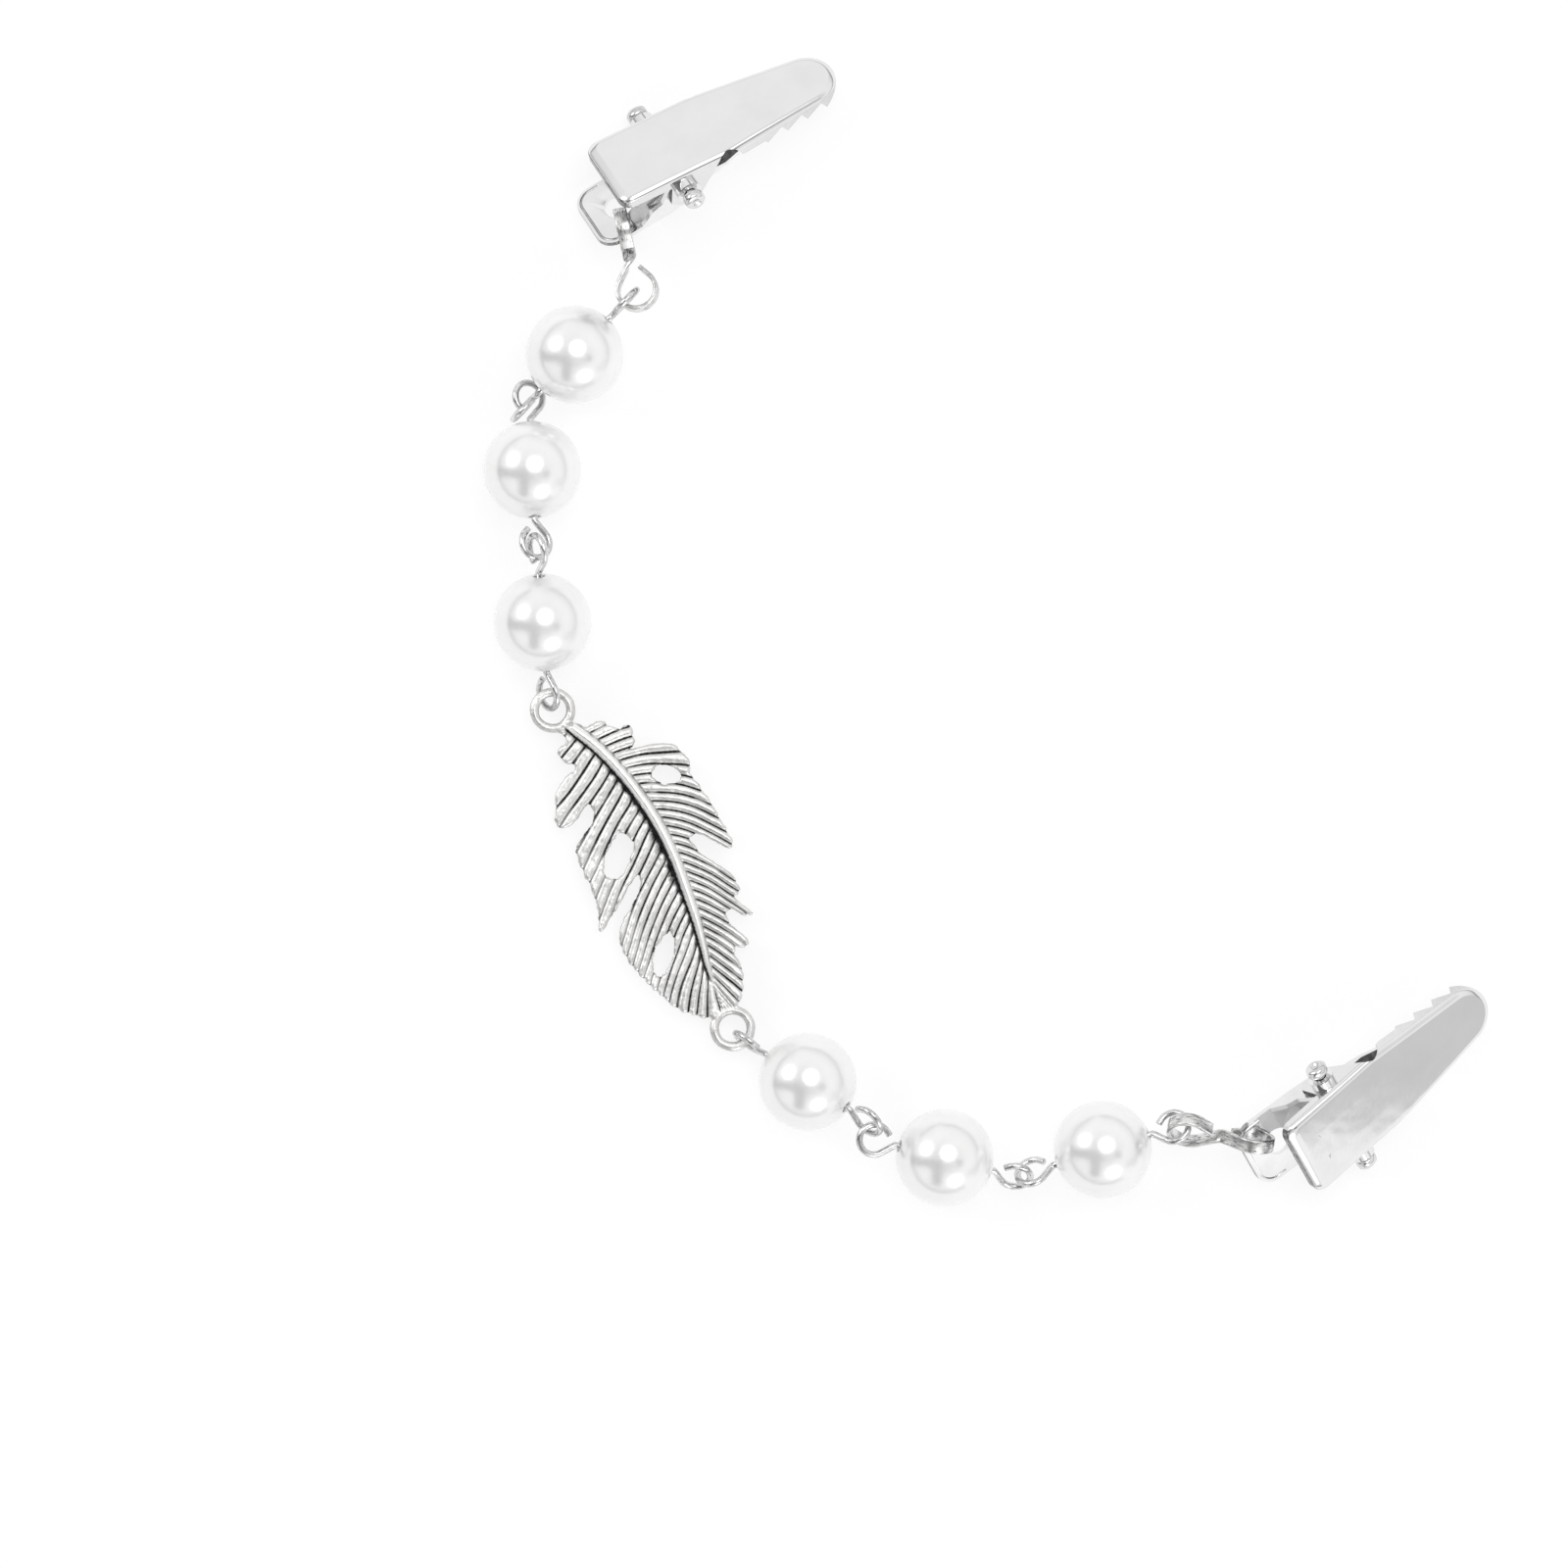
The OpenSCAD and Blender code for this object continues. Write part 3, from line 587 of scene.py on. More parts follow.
# Feather: a cast plate whose barbs, rib and rings are modelled as relief.
# Rows of its edges and eyes: share of the length, share of the half width
RIGHT_EDGE = [[0.05, 0.12], [0.073, 0.22], [0.09, 0.3], [0.087, 0.47], [0.134, 0.6], [0.13, 0.72],
              [0.142, 0.78], [0.175, 0.72], [0.195, 0.69], [0.197, 0.6], [0.21, 0.86], [0.226, 1.03],
              [0.245, 1.13], [0.29, 1.2], [0.321, 1.18], [0.331, 1.12], [0.34, 1.14], [0.449, 1.18],
              [0.547, 1.18], [0.573, 1.13], [0.541, 0.99], [0.49, 0.86], [0.485, 0.68], [0.547, 0.75],
              [0.614, 0.92], [0.66, 0.98], [0.69, 0.93], [0.684, 0.83], [0.748, 0.95], [0.759, 0.9],
              [0.7, 0.68], [0.741, 0.61], [0.802, 0.74], [0.829, 0.69], [0.805, 0.5], [0.875, 0.49],
              [0.913, 0.39], [0.955, 0.22]]
LEFT_EDGE = [[0.05, -0.1], [0.066, -0.04], [0.1, -0.05], [0.1, -0.17], [0.115, -0.23], [0.14, -0.19],
             [0.162, -0.1], [0.178, -0.13], [0.172, -0.22], [0.188, -0.41], [0.21, -0.51],
             [0.277, -0.69], [0.298, -0.66], [0.296, -0.44], [0.272, -0.22], [0.28, -0.17],
             [0.305, -0.19], [0.328, -0.32], [0.353, -0.59], [0.372, -0.65], [0.531, -0.71],
             [0.575, -0.86], [0.596, -0.85], [0.563, -0.56], [0.506, -0.15], [0.508, -0.07],
             [0.53, -0.08], [0.582, -0.41], [0.614, -0.64], [0.66, -0.74], [0.703, -0.74],
             [0.8, -0.63], [0.881, -0.5], [0.955, -0.17]]
EYES = [[[0.298, 1], [0.33, 1.04], [0.341, 0.93], [0.325, 0.74], [0.285, 0.68], [0.27, 0.77],
         [0.28, 0.89]],
        [[0.38, -0.02], [0.4, 0.07], [0.43, 0.07], [0.474, -0.13], [0.493, -0.3], [0.475, -0.44],
         [0.45, -0.45], [0.401, -0.26]],
        [[0.684, -0.09], [0.7, -0.06], [0.738, -0.15], [0.776, -0.37], [0.782, -0.48], [0.768, -0.54],
         [0.72, -0.44], [0.69, -0.22]]]
# Rows of the rib: share of the length, its middle as a share of the half width, share of RIB_W
RIB = np.array([[0.055, 0.05, 0.8], [0.1, 0.2, 1], [0.2, 0.345, 0.95], [0.3, 0.427, 0.92],
                [0.4, 0.465, 0.92], [0.5, 0.444, 0.9], [0.6, 0.367, 0.85], [0.7, 0.278, 0.7],
                [0.8, 0.143, 0.5], [0.855, 0.06, 0.3]])
# Rows of how barbs run, by the millimetres along the rib where they start: lean, or growth of the lean
RIGHT_LEAN = [[3.7, -0.05], [7.4, 0.1], [12.6, 0.33], [15, 0.5], [20.5, 0.95], [24, 1.1], [28, 1.5],
              [30, 2.2], [32, 5]]
RIGHT_CURL = [[3.7, 0.03], [7.4, 0.03], [12.6, 0.1], [15, 0.13], [20.5, 0.17], [24, 0.14], [28, 0.2]]
LEFT_LEAN = [[4, 0.45], [13, 0.6], [21, 0.6], [27, 0.7], [30, 1.2], [31.2, 1.8], [32, 4.5]]
LEFT_CURL = [[5, 0.0], [20, 0.022], [30, 0.03]]
# From one barb to the next along the rib
RIGHT_BARB, LEFT_BARB = 0.97, 1.14
# Where the rib starts, is full, begins to fade and ends
RIB_SPAN = (1.7, 2.6, 31.2, 32.3)
# The grid that the relief is made on, and how far it reaches past the middles of the rings
CELL, MARGIN = 0.1, 2.7
# The relief: grooves between barbs, round tops of barbs, the trench left of the rib, and the camber
GROOVE_D, BARB_H, TRENCH_D, CAMBER = 0.26, 0.05, 0.16, 0.12
# How deep and how far the edges of vane and rings are rounded, and share of that on the back
VANE_EDGE, RING_EDGE = (0.24, 0.3), (0.42, 0.45)
VANE_BACK, RING_BACK = 0.4, 0.3


def rib_middle(s):
    """The rib's middle line, with its corners eased over 1.6 mm to both sides."""
    middle = np.column_stack([RIB[:, 0] * FEATHER_L, RIB[:, 1] * HALF_W])
    eased = (looked_up(middle, s - 1.6) + looked_up(middle, s + 1.6)) / 2
    return (looked_up(middle, s) + eased) / 2


def rib_share(s):
    return np.interp(s, RIB[:, 0] * FEATHER_L, RIB[:, 2])


def rib_field(s, t):
    """Distance from the rib's middle, half its width, where it is, and distance left of its left side."""
    middle, half = rib_middle(s), RIB_W * rib_share(s) / 2
    start, full, fade, end = RIB_SPAN
    on_span = smoothstep(start, full, s) * (1 - smoothstep(fade, end, s))
    return np.abs(t - middle), half, on_span, middle - half - t


def barb_root(s, t):
    """How far along the rib the barb through a point starts, found by a few steps."""
    root = s.copy()
    for _ in range(24):
        off = t - rib_middle(root)
        right = off > 0
        off = np.abs(off)
        lean = np.where(right, looked_up(RIGHT_LEAN, root), looked_up(LEFT_LEAN, root))
        curl = np.where(right, looked_up(RIGHT_CURL, root), looked_up(LEFT_CURL, root))
        root = 0.6 * root + 0.4 * (s - lean * off - curl * off * off)
        root = np.clip(root, -8, 40)
    return root


def barbs_at(s, t):
    """Which barb a point is on, counted along the rib, and the distance from that barb's root."""
    root = barb_root(s, t)
    off = t - rib_middle(root)
    return root / np.where(off > 0, RIGHT_BARB, LEFT_BARB) + 0.12 * value_noise(s, t, 2.6, 3), off


def vane_inside(s, t, barb):
    """Distance inside the vane, whose edge follows the barbs and is a little ragged."""
    scale = np.array([FEATHER_L, HALF_W])
    ragged = 0.08 * value_noise(s, t, 0.55, 5) + 0.05 * value_noise(s, t, 0.25, 6)
    outline = softened(np.vstack([RIGHT_EDGE, LEFT_EDGE[::-1]]) * scale, 1)
    d = polygon_distance(s, t, outline) - 0.06 * np.cos(2 * math.pi * barb) + ragged
    for eye_edge in EYES:
        hole = softened(np.vstack([eye_edge, eye_edge[:1]]) * scale, 1)
        d = np.minimum(d, -polygon_distance(s, t, hole) + 1.5 * ragged)
    return d


def rings_inside(s, t):
    """Distance inside the two rings, and distance out of their holes."""
    far = 9.0
    ring, hole = np.full(s.shape, -far), np.full(s.shape, far)
    for x in (0.0, FEATHER_L):
        r = np.hypot(s - x, t)
        ring = np.maximum(ring, RING_R - r + 0.03 * value_noise(s, t, 0.9, 8))
        hole = np.minimum(hole, r - RING_HOLE_R - 0.03 * value_noise(s, t, 0.8, 9))
    return ring, hole


def joined(vane, ring, hole):
    """The vane and the rings as one casting, with a neck that flows from one into the other."""
    blend = np.clip(0.5 + 0.5 * (ring - vane) / 0.35, 0, 1)
    body = vane * (1 - blend) + ring * blend + 0.35 * blend * (1 - blend)
    return np.minimum(body, hole)


def rounded_drop(inside, depth, r):
    """How far a face drops towards an edge that is rounded over r."""
    return depth * (1 - np.sqrt(1 - np.clip(1 - inside / r, 0, 1) ** 2))


def rib_height(s, rib_d, half, on_span):
    round_top = np.sqrt(np.clip(1 - (rib_d / (half * 0.95)) ** 2, 0, 1))
    return round_top * RIB_H * np.minimum(1, 1.2 * rib_share(s)) * on_span


def barb_cut(s, t, off, in_ring):
    """How deep the gaps between barbs are cut: not on rib or rings, less where the casting is worn."""
    rib_d, half, on_span, _ = rib_field(s, t)
    beside = smoothstep(0.0, 0.3, rib_d - 0.85 * half * on_span)
    worn = smoothstep(0.2, 0.85, value_noise(s, t, 1.7, 12))
    cut = (1 - in_ring) * beside * smoothstep(2.2, 3.2, s) * (1 - np.where(off > 0, 0.55, 0.25) * worn)
    return cut * (1 - 0.45 * smoothstep(5.5, 8.0, np.abs(off))) * (1 - smoothstep(35.2, 35.8, s))


def feather_faces(s, t, inside, in_ring, barb, cut):
    """Heights of the front and the back."""
    rib_d, half, on_span, below = rib_field(s, t)
    on_ring = in_ring > 0.5
    rib = rib_height(s, rib_d, half, on_span)
    gap = np.abs(barb - np.round(barb))
    groove = np.exp(-(gap / 0.1) ** 2) * cut
    ridge = -BARB_H * np.cos(2 * math.pi * barb) * cut
    trench = np.exp(-((below - 0.12) / 0.3) ** 2) * on_span * (1 - in_ring)
    camber = CAMBER * (smoothstep(7.5, 0.0, rib_d) - 0.5)
    edge, ring_edge = rounded_drop(inside, *VANE_EDGE), rounded_drop(inside, *RING_EDGE)
    face = (VANE_T - RING_T / 2) + (RING_T - VANE_T) * in_ring
    top = face + (camber - GROOVE_D * groove + ridge - TRENCH_D * trench) * (1 - in_ring) + rib
    top = top - np.where(on_ring, ring_edge, edge) + 0.015 * value_noise(s, t, 0.4, 15)
    top = np.where(rib > 0.02, np.maximum(top, face + rib - 0.05), top)
    low = -RING_T / 2 + np.where(on_ring, RING_BACK * ring_edge, VANE_BACK * edge)
    return top, low + 0.012 * value_noise(s, t, 0.7, 16)


def feather_soil(s, t, inside, in_ring):
    """Dark patina, most of it in the trench on the left of the rib."""
    rib_d, half, on_span, below = rib_field(s, t)
    rib = rib_height(s, rib_d, half, on_span)
    above = below + 2 * half
    along = smoothstep(6.5, 10.0, s) * (1 - smoothstep(20.0, 27.0, s))
    smoke = np.clip(0.5 + 0.6 * value_noise(s, t, 0.5, 18), 0, 1) * along
    smoke = 1.25 * smoke * np.exp(-np.clip(below, 0, None) / 0.7) * (below > -0.1)
    soil = (np.exp(-((below - 0.05) / 0.2) ** 2) + smoke) * on_span * (1 - in_ring)
    soil = soil + 0.35 * np.exp(-((above + 0.02) / 0.09) ** 2) * on_span
    soil = soil - 0.6 * (rib > 0.25) + 0.14 * smoothstep(0.1, 0.0, inside)
    return np.clip(soil + 0.14 * value_noise(s, t, 2.2, 19) * (1 - in_ring), 0, 1)


def whole_cells(body):
    """Cells of the grid that lie inside the body, their points, and those points that are on the rim."""
    keep = body > 0.0
    cells = keep[:-1, :-1] & keep[1:, :-1] & keep[:-1, 1:] & keep[1:, 1:]
    ns, nt = keep.shape
    count = np.zeros(keep.shape, int)
    for a in (0, 1):
        for b in (0, 1):
            count[a:ns - 1 + a, b:nt - 1 + b] += cells
    return cells, count > 0, (count > 0) & (count < 4)


def shell_faces(cells, used):
    """Faces of a front, a back and the wall between them."""
    n = int(used.sum())
    number = np.full(used.shape, -1)
    number[used] = np.arange(n)
    i, j = np.nonzero(cells)
    front = np.stack([number[i, j], number[i + 1, j], number[i + 1, j + 1], number[i, j + 1]], 1).tolist()
    edges = {}
    for f in front:
        for p, q in zip(f, f[1:] + f[:1]):
            if (q, p) in edges:
                del edges[q, p]
            else:
                edges[p, q] = True
    back = [tuple(v + n for v in f[::-1]) for f in front]
    return [tuple(f) for f in front] + back + [(q, p, p + n, q + n) for p, q in edges]


def feather_mesh(name):
    s0, s1 = -MARGIN, FEATHER_L + MARGIN
    t0, t1 = -0.95 * HALF_W, 1.28 * HALF_W
    ns, nt = int((s1 - s0) / CELL) + 1, int((t1 - t0) / CELL) + 1
    s, t = np.meshgrid(s0 + CELL * np.arange(ns), t0 + CELL * np.arange(nt), indexing="ij")
    barb, off = barbs_at(s, t)
    ring, hole = rings_inside(s, t)
    body = joined(vane_inside(s, t, barb), ring, hole)
    inside = np.clip(body, 0, None)
    in_ring = np.clip(np.maximum(ring, 0) / 0.3, 0, 1)
    cut = barb_cut(s, t, off, in_ring)
    top, low = feather_faces(s, t, inside, in_ring, barb, cut)
    soil = feather_soil(s, t, inside, in_ring)
    rubbed = smoothstep(0.1, 0.4, rib_height(s, *rib_field(s, t)[:3]))

    # The points on the rim move out to the true edge
    cells, used, rim = whole_cells(body)
    gs, gt = np.gradient(body, CELL)
    move = np.clip(body, 0, 1.5 * CELL) / np.maximum(gs * gs + gt * gt, 0.3)
    s[rim] -= (move * gs)[rim]
    t[rim] -= (move * gt)[rim]
    top[rim] -= 0.05
    front, back = (np.stack([s[used], t[used], z[used]], 1) for z in (top, low))
    verts = np.vstack([front, back]) @ turning(0, 0, FEATHER_HEADING).T + RING_A
    obj = add_object(name, verts, shell_faces(cells, used))
    back_soil = 0.18 + 0.14 * value_noise(back[:, 0], back[:, 1], 1.5, 21)
    none = np.zeros(len(back))
    return write_values(obj, "POINT", soil=np.concatenate([soil[used], back_soil]),
                        rubbed=np.concatenate([rubbed[used], none]), barb=np.tile(barb[used], 2),
                        cut=np.concatenate([cut[used], none]))


dress(feather_mesh("feather_fine"), "feather", FEATHER)


# Clips, with the middle of the hinge pin as their own origin
PLATE_Z, UNDER_Z = PIN_DROP, PIN_DROP - SHEET
TAIL_X, TIP_X = -TAIL_ARM, PLATE_L - TAIL_ARM
TIP_MID_X, TAPER_X = TIP_X - TIP_W / 2, -TAIL_ARM + 0.45 * PLATE_L
BORE_D, COLLAR_H = PIN_D + 0.1, 1.0
COLLAR_D = BORE_D + 1.3
TEETH_X = TIP_X - 0.9 - (TOOTH_N - 0.4) * PITCH
TOOTH_Z, LIP_Z = PLATE_Z - SIDE_H, PLATE_Z - LIP_H
NOTCH_R = 0.62 * EAR_R
NOTCH_X, NOTCH_Z = 0.4 * TEETH_X + 0.87 * NOTCH_R, TOOTH_Z + 0.4 * TOOTH_H
# At the tail the sheet is rolled over a radius that is larger by this factor, within TAIL_REACH
TAIL_ROLL, TAIL_REACH = 1.6, 3
CROWN, BOW = 0.035, 0.16
# Insets of the rings that carry the plate's top from the rolled edge to the strips across it
TOP_INSETS = (1.0, 1.4, 1.9, 2.4, 2.8, 3.1)
EDGE_EASE = 0.07
# Rows of the lever's lower face: place along the clip, height
LEVER_UNDER = [(-LEVER_L, -LEVER_DROP), (-EAR_R, -0.77 * LEVER_DROP), (0.45 * EAR_R, -0.6 * LEVER_DROP)]
LEVER_CORNER_R = 1.9
# The line coined into the lever's tail: distance from the edge, width, and length along the sides
HEM_IN, HEM_D, HEM_L = 0.4, 0.28, 2.9


def line(p, q, n):
    """Points that cut the way from p to q into n, without its ends."""
    f = np.linspace(0, 1, n + 1)[1:-1, None]
    return np.asarray(p) * (1 - f) + np.asarray(q) * f


def plate_outline(inset):
    h, c = PLATE_W / 2 - inset, max(CORNER_R - inset, 0.05)
    x, y = TAIL_X + CORNER_R, PLATE_W / 2 - CORNER_R
    x, y = max(x, TAIL_X + inset + c), min(y, h - c)
    r = TIP_W / 2 - inset
    a, b, tip = arc(x, -y, c, 180, 270, 7), arc(x, y, c, 90, 180, 7), arc(TIP_MID_X, 0, r, -84, 84, 24)
    low, high = [TAPER_X, -h], [TAPER_X, h]
    return np.vstack([a, line(a[-1], low, 8), [low], line(low, tip[0], 10), tip, line(tip[-1], high, 10),
                      [high], line(high, b[0], 8), b, line(b[-1], a[0], 8)])


def tail_drawn(p, inset):
    """Draws the rolled edge out at the tail, where the sheet is bent over a wider radius."""
    rolled = min(inset, EDGE_R)
    near = np.clip((TAIL_X + TAIL_REACH - p[:, 0]) / (TAIL_REACH - rolled), 0, 1)
    return p + np.outer((TAIL_ROLL - 1) * rolled * near, [1, 0])


def plate_top(p):
    """Height of the plate: a faint crown across and a bow along it."""
    x = (p[:, 0] - 0.5 * (TAIL_X + TIP_X)) / (PLATE_L / 2)
    return PLATE_Z - BOW * x * x - CROWN * (2 * p[:, 1] / PLATE_W) ** 2


def loose(verts, faces):
    """A scratch object in millimetres."""
    mesh = bpy.data.meshes.new("scratch")
    mesh.from_pydata([tuple(v) for v in np.asarray(verts)], [], faces)
    bm = bmesh.new()
    bm.from_mesh(mesh)
    bmesh.ops.recalc_face_normals(bm, faces=bm.faces)
    bm.to_mesh(mesh)
    bm.free()
    return linked("scratch", mesh)


def carve(target, tool, operation):
    """Cuts or joins a scratch object with another, which is used up."""
    m = target.modifiers.new("cut", "BOOLEAN")
    m.operation, m.object, m.solver = operation, tool, "EXACT"
    baked(target)
    bpy.data.objects.remove(tool)


def drawn_across(profile, w):
    """A side view in X and Z, drawn out across Y."""
    x, z = profile.T
    rings = [np.column_stack([x, np.full(len(x), y), z]) for y in (-w / 2, w / 2)]
    return loose(*skin_rings(rings)[:2])


def bevelled(obj, width, angle, segments):
    m = obj.modifiers.new("edges", "BEVEL")
    m.width, m.segments, m.limit_method, m.angle_limit = width, segments, "ANGLE", math.radians(angle)
    m.use_clamp_overlap = True
    obj.modifiers.new("normals", "WEIGHTED_NORMAL").keep_sharp = False
    obj.data.shade_smooth()
    return baked(obj)


def face_places(obj):
    """Middle and normal of every face."""
    middle, normal = np.zeros(3 * len(obj.data.polygons)), np.zeros(3 * len(obj.data.polygons))
    obj.data.polygons.foreach_get("center", middle)
    obj.data.polygons.foreach_get("normal", normal)
    return middle.reshape(-1, 3), normal.reshape(-1, 3)


def settle(obj, name, turn, at):
    """Puts a scratch clip part in its place, in metres."""
    co = np.zeros(len(obj.data.vertices) * 3, np.float32)
    obj.data.vertices.foreach_get("co", co)
    place = (co.reshape(-1, 3) @ turn.T + at) * MM
    obj.data.vertices.foreach_set("co", place.astype(np.float32).ravel())
    obj.data.update()
    obj.name = name
    obj.data.name = name
    return obj


def upper_side():
    """The upper jaw from the side: plate, teeth, notch, ear and lip."""
    teeth = [[TEETH_X + (i + a) * PITCH, TOOTH_Z + b]
             for i in range(TOOTH_N - 1, -1, -1) for a, b in ((0.75, TOOTH_H), (0, 0))]
    return np.vstack([[[TAIL_X - 1, PLATE_Z + 1], [TIP_X + 1, PLATE_Z + 1], [TIP_X + 1, TOOTH_Z + TOOTH_H]],
                      teeth,
                      [[TEETH_X - 0.15 * PITCH, NOTCH_Z], [NOTCH_X + 1.25 * NOTCH_R, NOTCH_Z]],
                      arc(NOTCH_X, NOTCH_Z, NOTCH_R, 5, 130, 10),
                      arc(0, 0, EAR_R, -30, -140, 16),
                      [[-0.6 * EAR_R, LIP_Z], [TAIL_X - 1, LIP_Z]]])


def strips_across(k, first):
    """Closes a ring of k points, the same on both sides, by strips from side to side."""
    tail = k - 4
    left = [first + (tail + i) % k for i in range(k // 2 + 1)]
    right = [first + (tail - i) % k for i in range(k // 2 + 1)]
    strips = [(left[i], left[i + 1], right[i + 1], right[i]) for i in range(1, k // 2 - 1)]
    return [(left[0], left[1], right[1])] + strips + [(left[-2], left[-1], right[-2])]


def plate_block():
    """The plate with its rolled edge, as a full block down past the ears."""
    walls = [(0.0, -EAR_R - 1.0), (0.0, PLATE_Z - EDGE_R - 0.25)]
    roll = [(EDGE_R * (1 - math.cos(a)), PLATE_Z - EDGE_R * (1 - math.sin(a)))
            for a in np.radians(np.linspace(0, 90, 10))]
    rings = []
    for inset, z in walls + roll:
        p = tail_drawn(plate_outline(inset), inset)
        sink = (PLATE_Z - plate_top(p)) * smoothstep(PLATE_Z - EDGE_R, PLATE_Z, np.full(len(p), z))
        rings.append(np.column_stack([p, z - sink]))
    for inset in TOP_INSETS:
        p = tail_drawn(plate_outline(inset), inset)
        rings.append(np.column_stack([p, plate_top(p)]))
    verts, faces, _ = skin_rings(rings)
    k = len(rings[0])
    return loose(verts, faces[:-1] + strips_across(k, (len(rings) - 1) * k))


def upper_jaw():
    inner = plate_outline(SHEET)
    cavity = [np.column_stack([inner, np.full(len(inner), z)]) for z in (-EAR_R - 2, UNDER_Z)]
    jaw = plate_block()
    cavity = loose(*skin_rings(cavity)[:2])
    carve(jaw, drawn_across(upper_side(), PLATE_W + 2), "INTERSECT")
    carve(jaw, drawn_across(circle(COLLAR_D, 64), PLATE_W + 2 * COLLAR_H), "UNION")
    carve(jaw, cavity, "DIFFERENCE")
    carve(jaw, drawn_across(circle(BORE_D, 64), 2 * PLATE_W), "DIFFERENCE")
    jaw = bevelled(jaw, EDGE_EASE, 35, 2)
    # Painted shade on the tail's wall and the sheared edges, and a little painted shade on the side walls
    # towards the teeth
    place, facing = face_places(jaw)
    x, y, z = place.T
    near = 0.03
    inset = polygon_distance(x, y, plate_outline(0))
    tail = (facing[:, 0] < -0.7) & (np.abs(inset) < 0.4) & (z < PLATE_Z - 0.35 * EDGE_R)
    sheared = (inset > near) & (inset < SHEET - near) & (z < PLATE_Z - EDGE_R)
    wall = (np.abs(inset) < near) & (np.abs(facing[:, 2]) < 0.2) & ~tail
    wall_soil = 0.06 + 0.16 * smoothstep(6, 17, x)
    inside = (inset >= SHEET - near) & (z < UNDER_Z + 0.02)
    return write_values(jaw, "FACE", dull=inside, soil=0.92 * tail + 0.3 * sheared + wall * wall_soil)


def lever_copy(node_name, turn, at):
    """The lever's own solid in the clip's frame, with its flat faces made whole."""
    source = frame["nodes"][node_name].data
    co = np.zeros(len(source.vertices) * 3, np.float32)
    source.vertices.foreach_get("co", co)
    local = (co.reshape(-1, 3) / MM - at) @ turn
    lever = loose(local, [tuple(p.vertices) for p in source.polygons])
    bm = bmesh.new()
    bm.from_mesh(lever.data)
    bmesh.ops.remove_doubles(bm, verts=bm.verts, dist=0.0015)
    bmesh.ops.dissolve_limit(bm, angle_limit=math.radians(1.0), verts=bm.verts, edges=bm.edges)
    bm.to_mesh(lever.data)
    bm.free()
    return lever, np.abs(local[:, 1]).max()


def lever_tail(half, inset, end_x):
    """The outline of the lever's tail, open towards the clip's tip at end_x."""
    x, y, r = LEVER_CORNER_R - LEVER_L, half - LEVER_CORNER_R, LEVER_CORNER_R - inset
    return np.vstack([[[end_x, inset - half]], arc(x, -y, r, 270, 180, 10), arc(x, y, r, 180, 90, 10),
                      [[end_x, half - inset]]])


def lower_jaw(node_name, turn, at):
    """The lever's own solid, with a line coined all along the edge of its tail and its edges eased."""
    lever, half = lever_copy(node_name, turn, at)
    end_x = HEM_L - LEVER_L
    hem = lever_tail(half, HEM_IN, end_x)
    hem = np.column_stack([hem, looked_up(LEVER_UNDER, hem[:, 0]) + SHEET])
    carve(lever, loose(*sweep(hem, circle(HEM_D, 12), [0, 0, 1])[:2]), "DIFFERENCE")
    lever = bevelled(lever, EDGE_EASE, 50, 3)
    # Painted shade on the tail's edge and in the coined line
    place, _ = face_places(lever)
    x, y, z = place.T
    inset = polygon_distance(x, y, lever_tail(half, 0.0, 3))
    depth = looked_up(LEVER_UNDER, x) + SHEET - z
    on_tail = x < end_x
    edge = on_tail & (inset < 0.1)
    coined = on_tail & (np.abs(inset - HEM_IN) < HEM_D / 2) & (depth > 0.02) & (depth < 0.3)
    return write_values(lever, "FACE", soil=0.75 * edge + 0.45 * coined, dull=0.6 * ~on_tail)


# Hinge pins. Rows of the head, from its dimple to the shank: radius, height above HEAD_Y
HEAD_Y = PLATE_W / 2 + COLLAR_H + 0.4
HEAD = [(0.34, 0.9), (0.46, 1.08), (0.62, 1.1), (0.9, 1.02), (1.04, 0.86), (1.1, 0.6), (1.08, 0.3),
        (0.98, 0.1), (0.8, 0.02), (0.64, 0.0), (PIN_D / 2, -0.08)]
HEAD_MAX_R = PIN_D / 2 + 0.5


def hinge_pin():
    """A drawn pin with an upset head at each end, a little uneven and dimpled."""
    k = 48
    t = np.arange(k) * 2 * math.pi / k
    rings = []
    for side, phase, rows in ((-1, 2.3, HEAD), (1, 1.0, HEAD[::-1])):
        uneven = 1 + 0.035 * np.sin(2 * t + phase) + 0.02 * np.sin(3 * t)
        for r, h in rows:
            r = np.minimum(r * uneven if h > 0 else np.full(k, r), HEAD_MAX_R)
            rings.append(np.column_stack([r * np.cos(t), np.full(k, side * (HEAD_Y + h)), r * np.sin(t)]))
    pin = loose(*skin_rings(rings)[:2])
    pin.data.shade_smooth()
    return pin


# Springs: a coil on the pin, one leg down to the lever and one short leg up
COIL_TURNS, COIL_PITCH = 8.5, 1.25 * SPRING_D
COIL_R = PIN_D / 2 + 0.2 + SPRING_D / 2
LEG_X = -0.38 * LEVER_L
LEG_Z = looked_up(LEVER_UNDER, LEG_X) + SHEET + SPRING_D / 2 + 0.05


def spring(turn, at, name):
    a = np.radians(np.arange(0, COIL_TURNS * 360 + 1, 15))
    y = COIL_PITCH * (a / (2 * math.pi) - COIL_TURNS / 2)
    coil = np.stack([COIL_R * np.sin(a), y, -COIL_R * np.cos(a)], 1)
    path = np.vstack([[[LEG_X, y[0], LEG_Z]], coil, [[-1.1 * COIL_R, y[-1], 0.7 * COIL_R]]])
    verts, faces, uvs = sweep(path, circle(SPRING_D, 10), [0, 1, 0], blunt=0.04)
    return add_object(name, verts @ turn.T + at, faces, uvs)


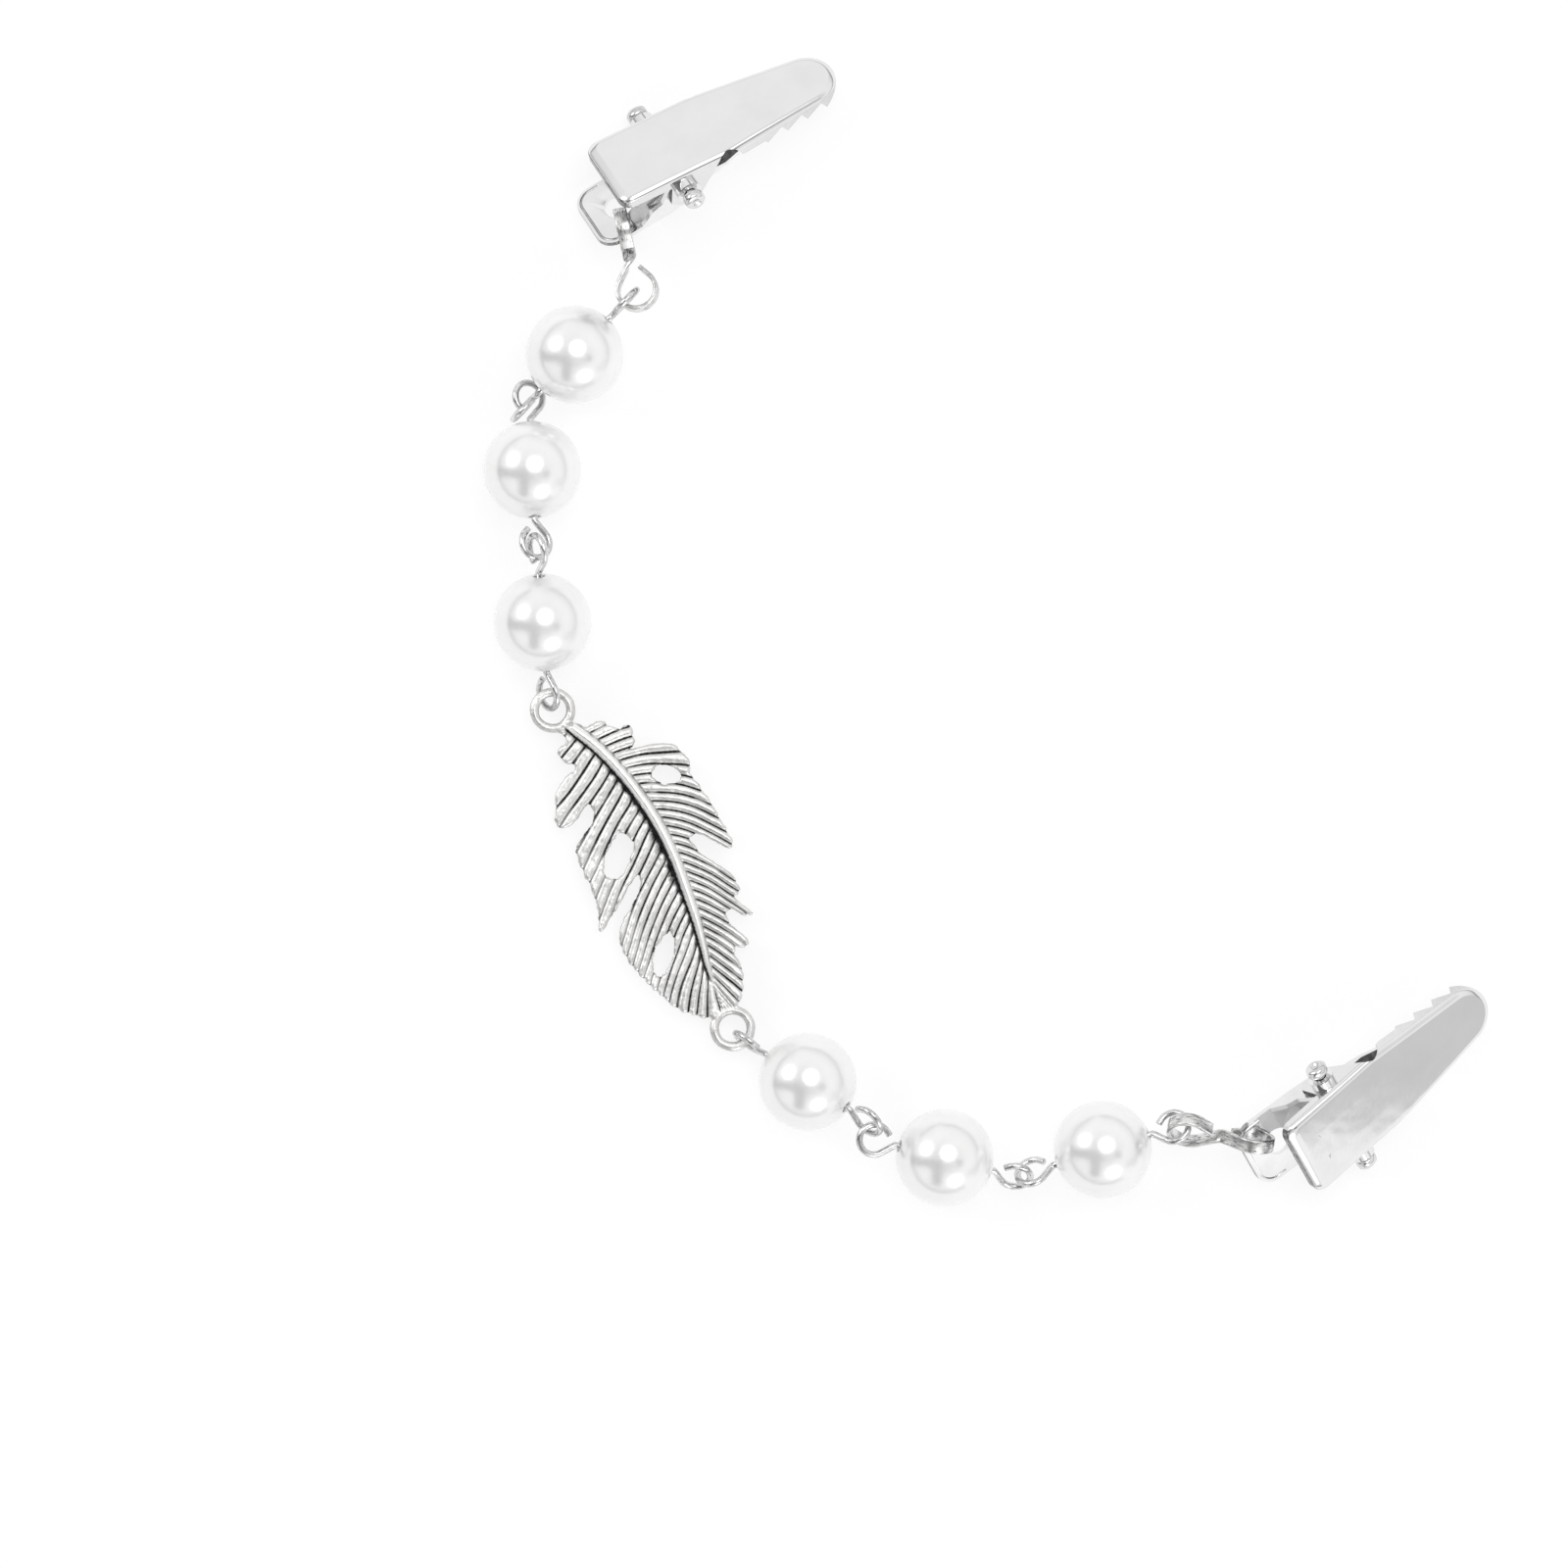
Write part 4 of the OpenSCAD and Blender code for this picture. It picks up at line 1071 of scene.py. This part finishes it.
for end in ("a", "b"):
    turn = turning(*TURN[end])
    at = np.array(JOINTS[f"jaw_{end}"]["pos_m"]) / MM
    dress(settle(upper_jaw(), f"upper_jaw_{end}_fine", turn, at),
          f"upper_jaw_{end}", PLATE, f"jaw_{end}")
    dress(settle(lower_jaw(f"lower_jaw_{end}", turn, at), f"lower_jaw_{end}_fine", turn, at),
          f"lower_jaw_{end}", LEVER)
    dress(settle(hinge_pin(), f"hinge_pin_{end}_fine", turn, at), f"hinge_pin_{end}", PIN)
    dress(spring(turn, at, f"spring_{end}_fine"), f"spring_{end}", SPRING)


# The table: white paper that glows a little, as a light table does
floor_mesh = bpy.data.meshes.new("floor")
floor_mesh.from_pydata([(-2, -2, 0), (2, -2, 0), (2, 2, 0), (-2, 2, 0)], [], [(0, 1, 2, 3)])
floor = linked("floor", floor_mesh)
paper, _, _ = new_material("white_paper", Roughness=0.9, Base_Color=(0.25, 0.25, 0.25, 1),
                           Emission_Color=(1, 1, 1, 1), Emission_Strength=0.75)
floor.data.materials.append(paper)


# The light: a sky that the metal and pearls reflect, with soft round cards in it.
# Rows of the sky: height, value
SKY = [(0.0, 0.4), (0.09, 0.45), (0.17, 0.8), (0.32, 0.97), (0.6, 1.0), (0.8, 0.8), (0.93, 0.5),
       (0.985, 0.42)]
# Rows of cards: degrees from the zenith, heading, where its edge starts and ends in degrees, value.
# Those of STAND are the dark shape between the lights, like that of a camera stand
STAND = [(80, 183, 3, 15, 0.2), (64, 187, 3, 14, 0.2), (48, 190, 3, 15, 0.2), (34, 200, 3, 16, 0.2),
         (22, 222, 3, 18, 0.2), (34, 238, 3, 17, 0.2), (47, 246, 3, 16, 0.2), (60, 250, 3, 15, 0.2)]
CARDS = [(36, -17.5, 4, 11, 0.2), (68, 220, 3, 10, 1.0), (51, 152, 10, 16, 3.8), (14, 60, 15, 21, 2.6),
         (60, -65, 11, 17, 3.4), (74, 102.8, 10, 15, 1.0), (78, -29, 10, 16, 0.71),
         (84.5, -42.5, 12, 13, 1.08)]

world = bpy.data.worlds.new("studio")
bpy.context.scene.world = world
world.use_nodes = True
tree = world.node_tree
way = shader_node(tree, "ShaderNodeTexCoord").outputs["Generated"]
height = shader_node(tree, "ShaderNodeSeparateXYZ", {0: way}).outputs["Z"]
sky = ramp(tree, height, SKY)
for angle, heading, inner, outer, value in STAND + CARDS:
    middle = tuple(aim(heading, 90 - angle))
    near = shader_node(tree, "ShaderNodeVectorMath", {0: way, 1: middle}, operation="DOT_PRODUCT")
    edge = [math.cos(math.radians(a)) for a in (outer, inner)]
    share = map_range(tree, near.outputs["Value"], edge, (0.0, 1.0), "SMOOTHSTEP")
    sky = mixed(tree, share, sky, (value, value, value))
tree.links.new(sky, tree.nodes["Background"].inputs["Color"])
tree.nodes["Background"].inputs["Strength"].default_value = 1.0


# The camera looks straight down, as the photograph does, at 160 mm of table from side to side
CAMERA_AT, VIEW_W, SENSOR_W = (-20.601, -15.541, 1000.0), 160.0, 36.0
camera = linked("camera", bpy.data.cameras.new("camera"))
camera.location = [v * MM for v in CAMERA_AT]
camera.data.sensor_width = SENSOR_W
camera.data.lens = SENSOR_W * CAMERA_AT[2] / VIEW_W
camera.data.clip_start, camera.data.clip_end = 0.05, 10
bpy.context.scene.camera = camera
bpy.context.scene.view_settings.view_transform = "Standard"
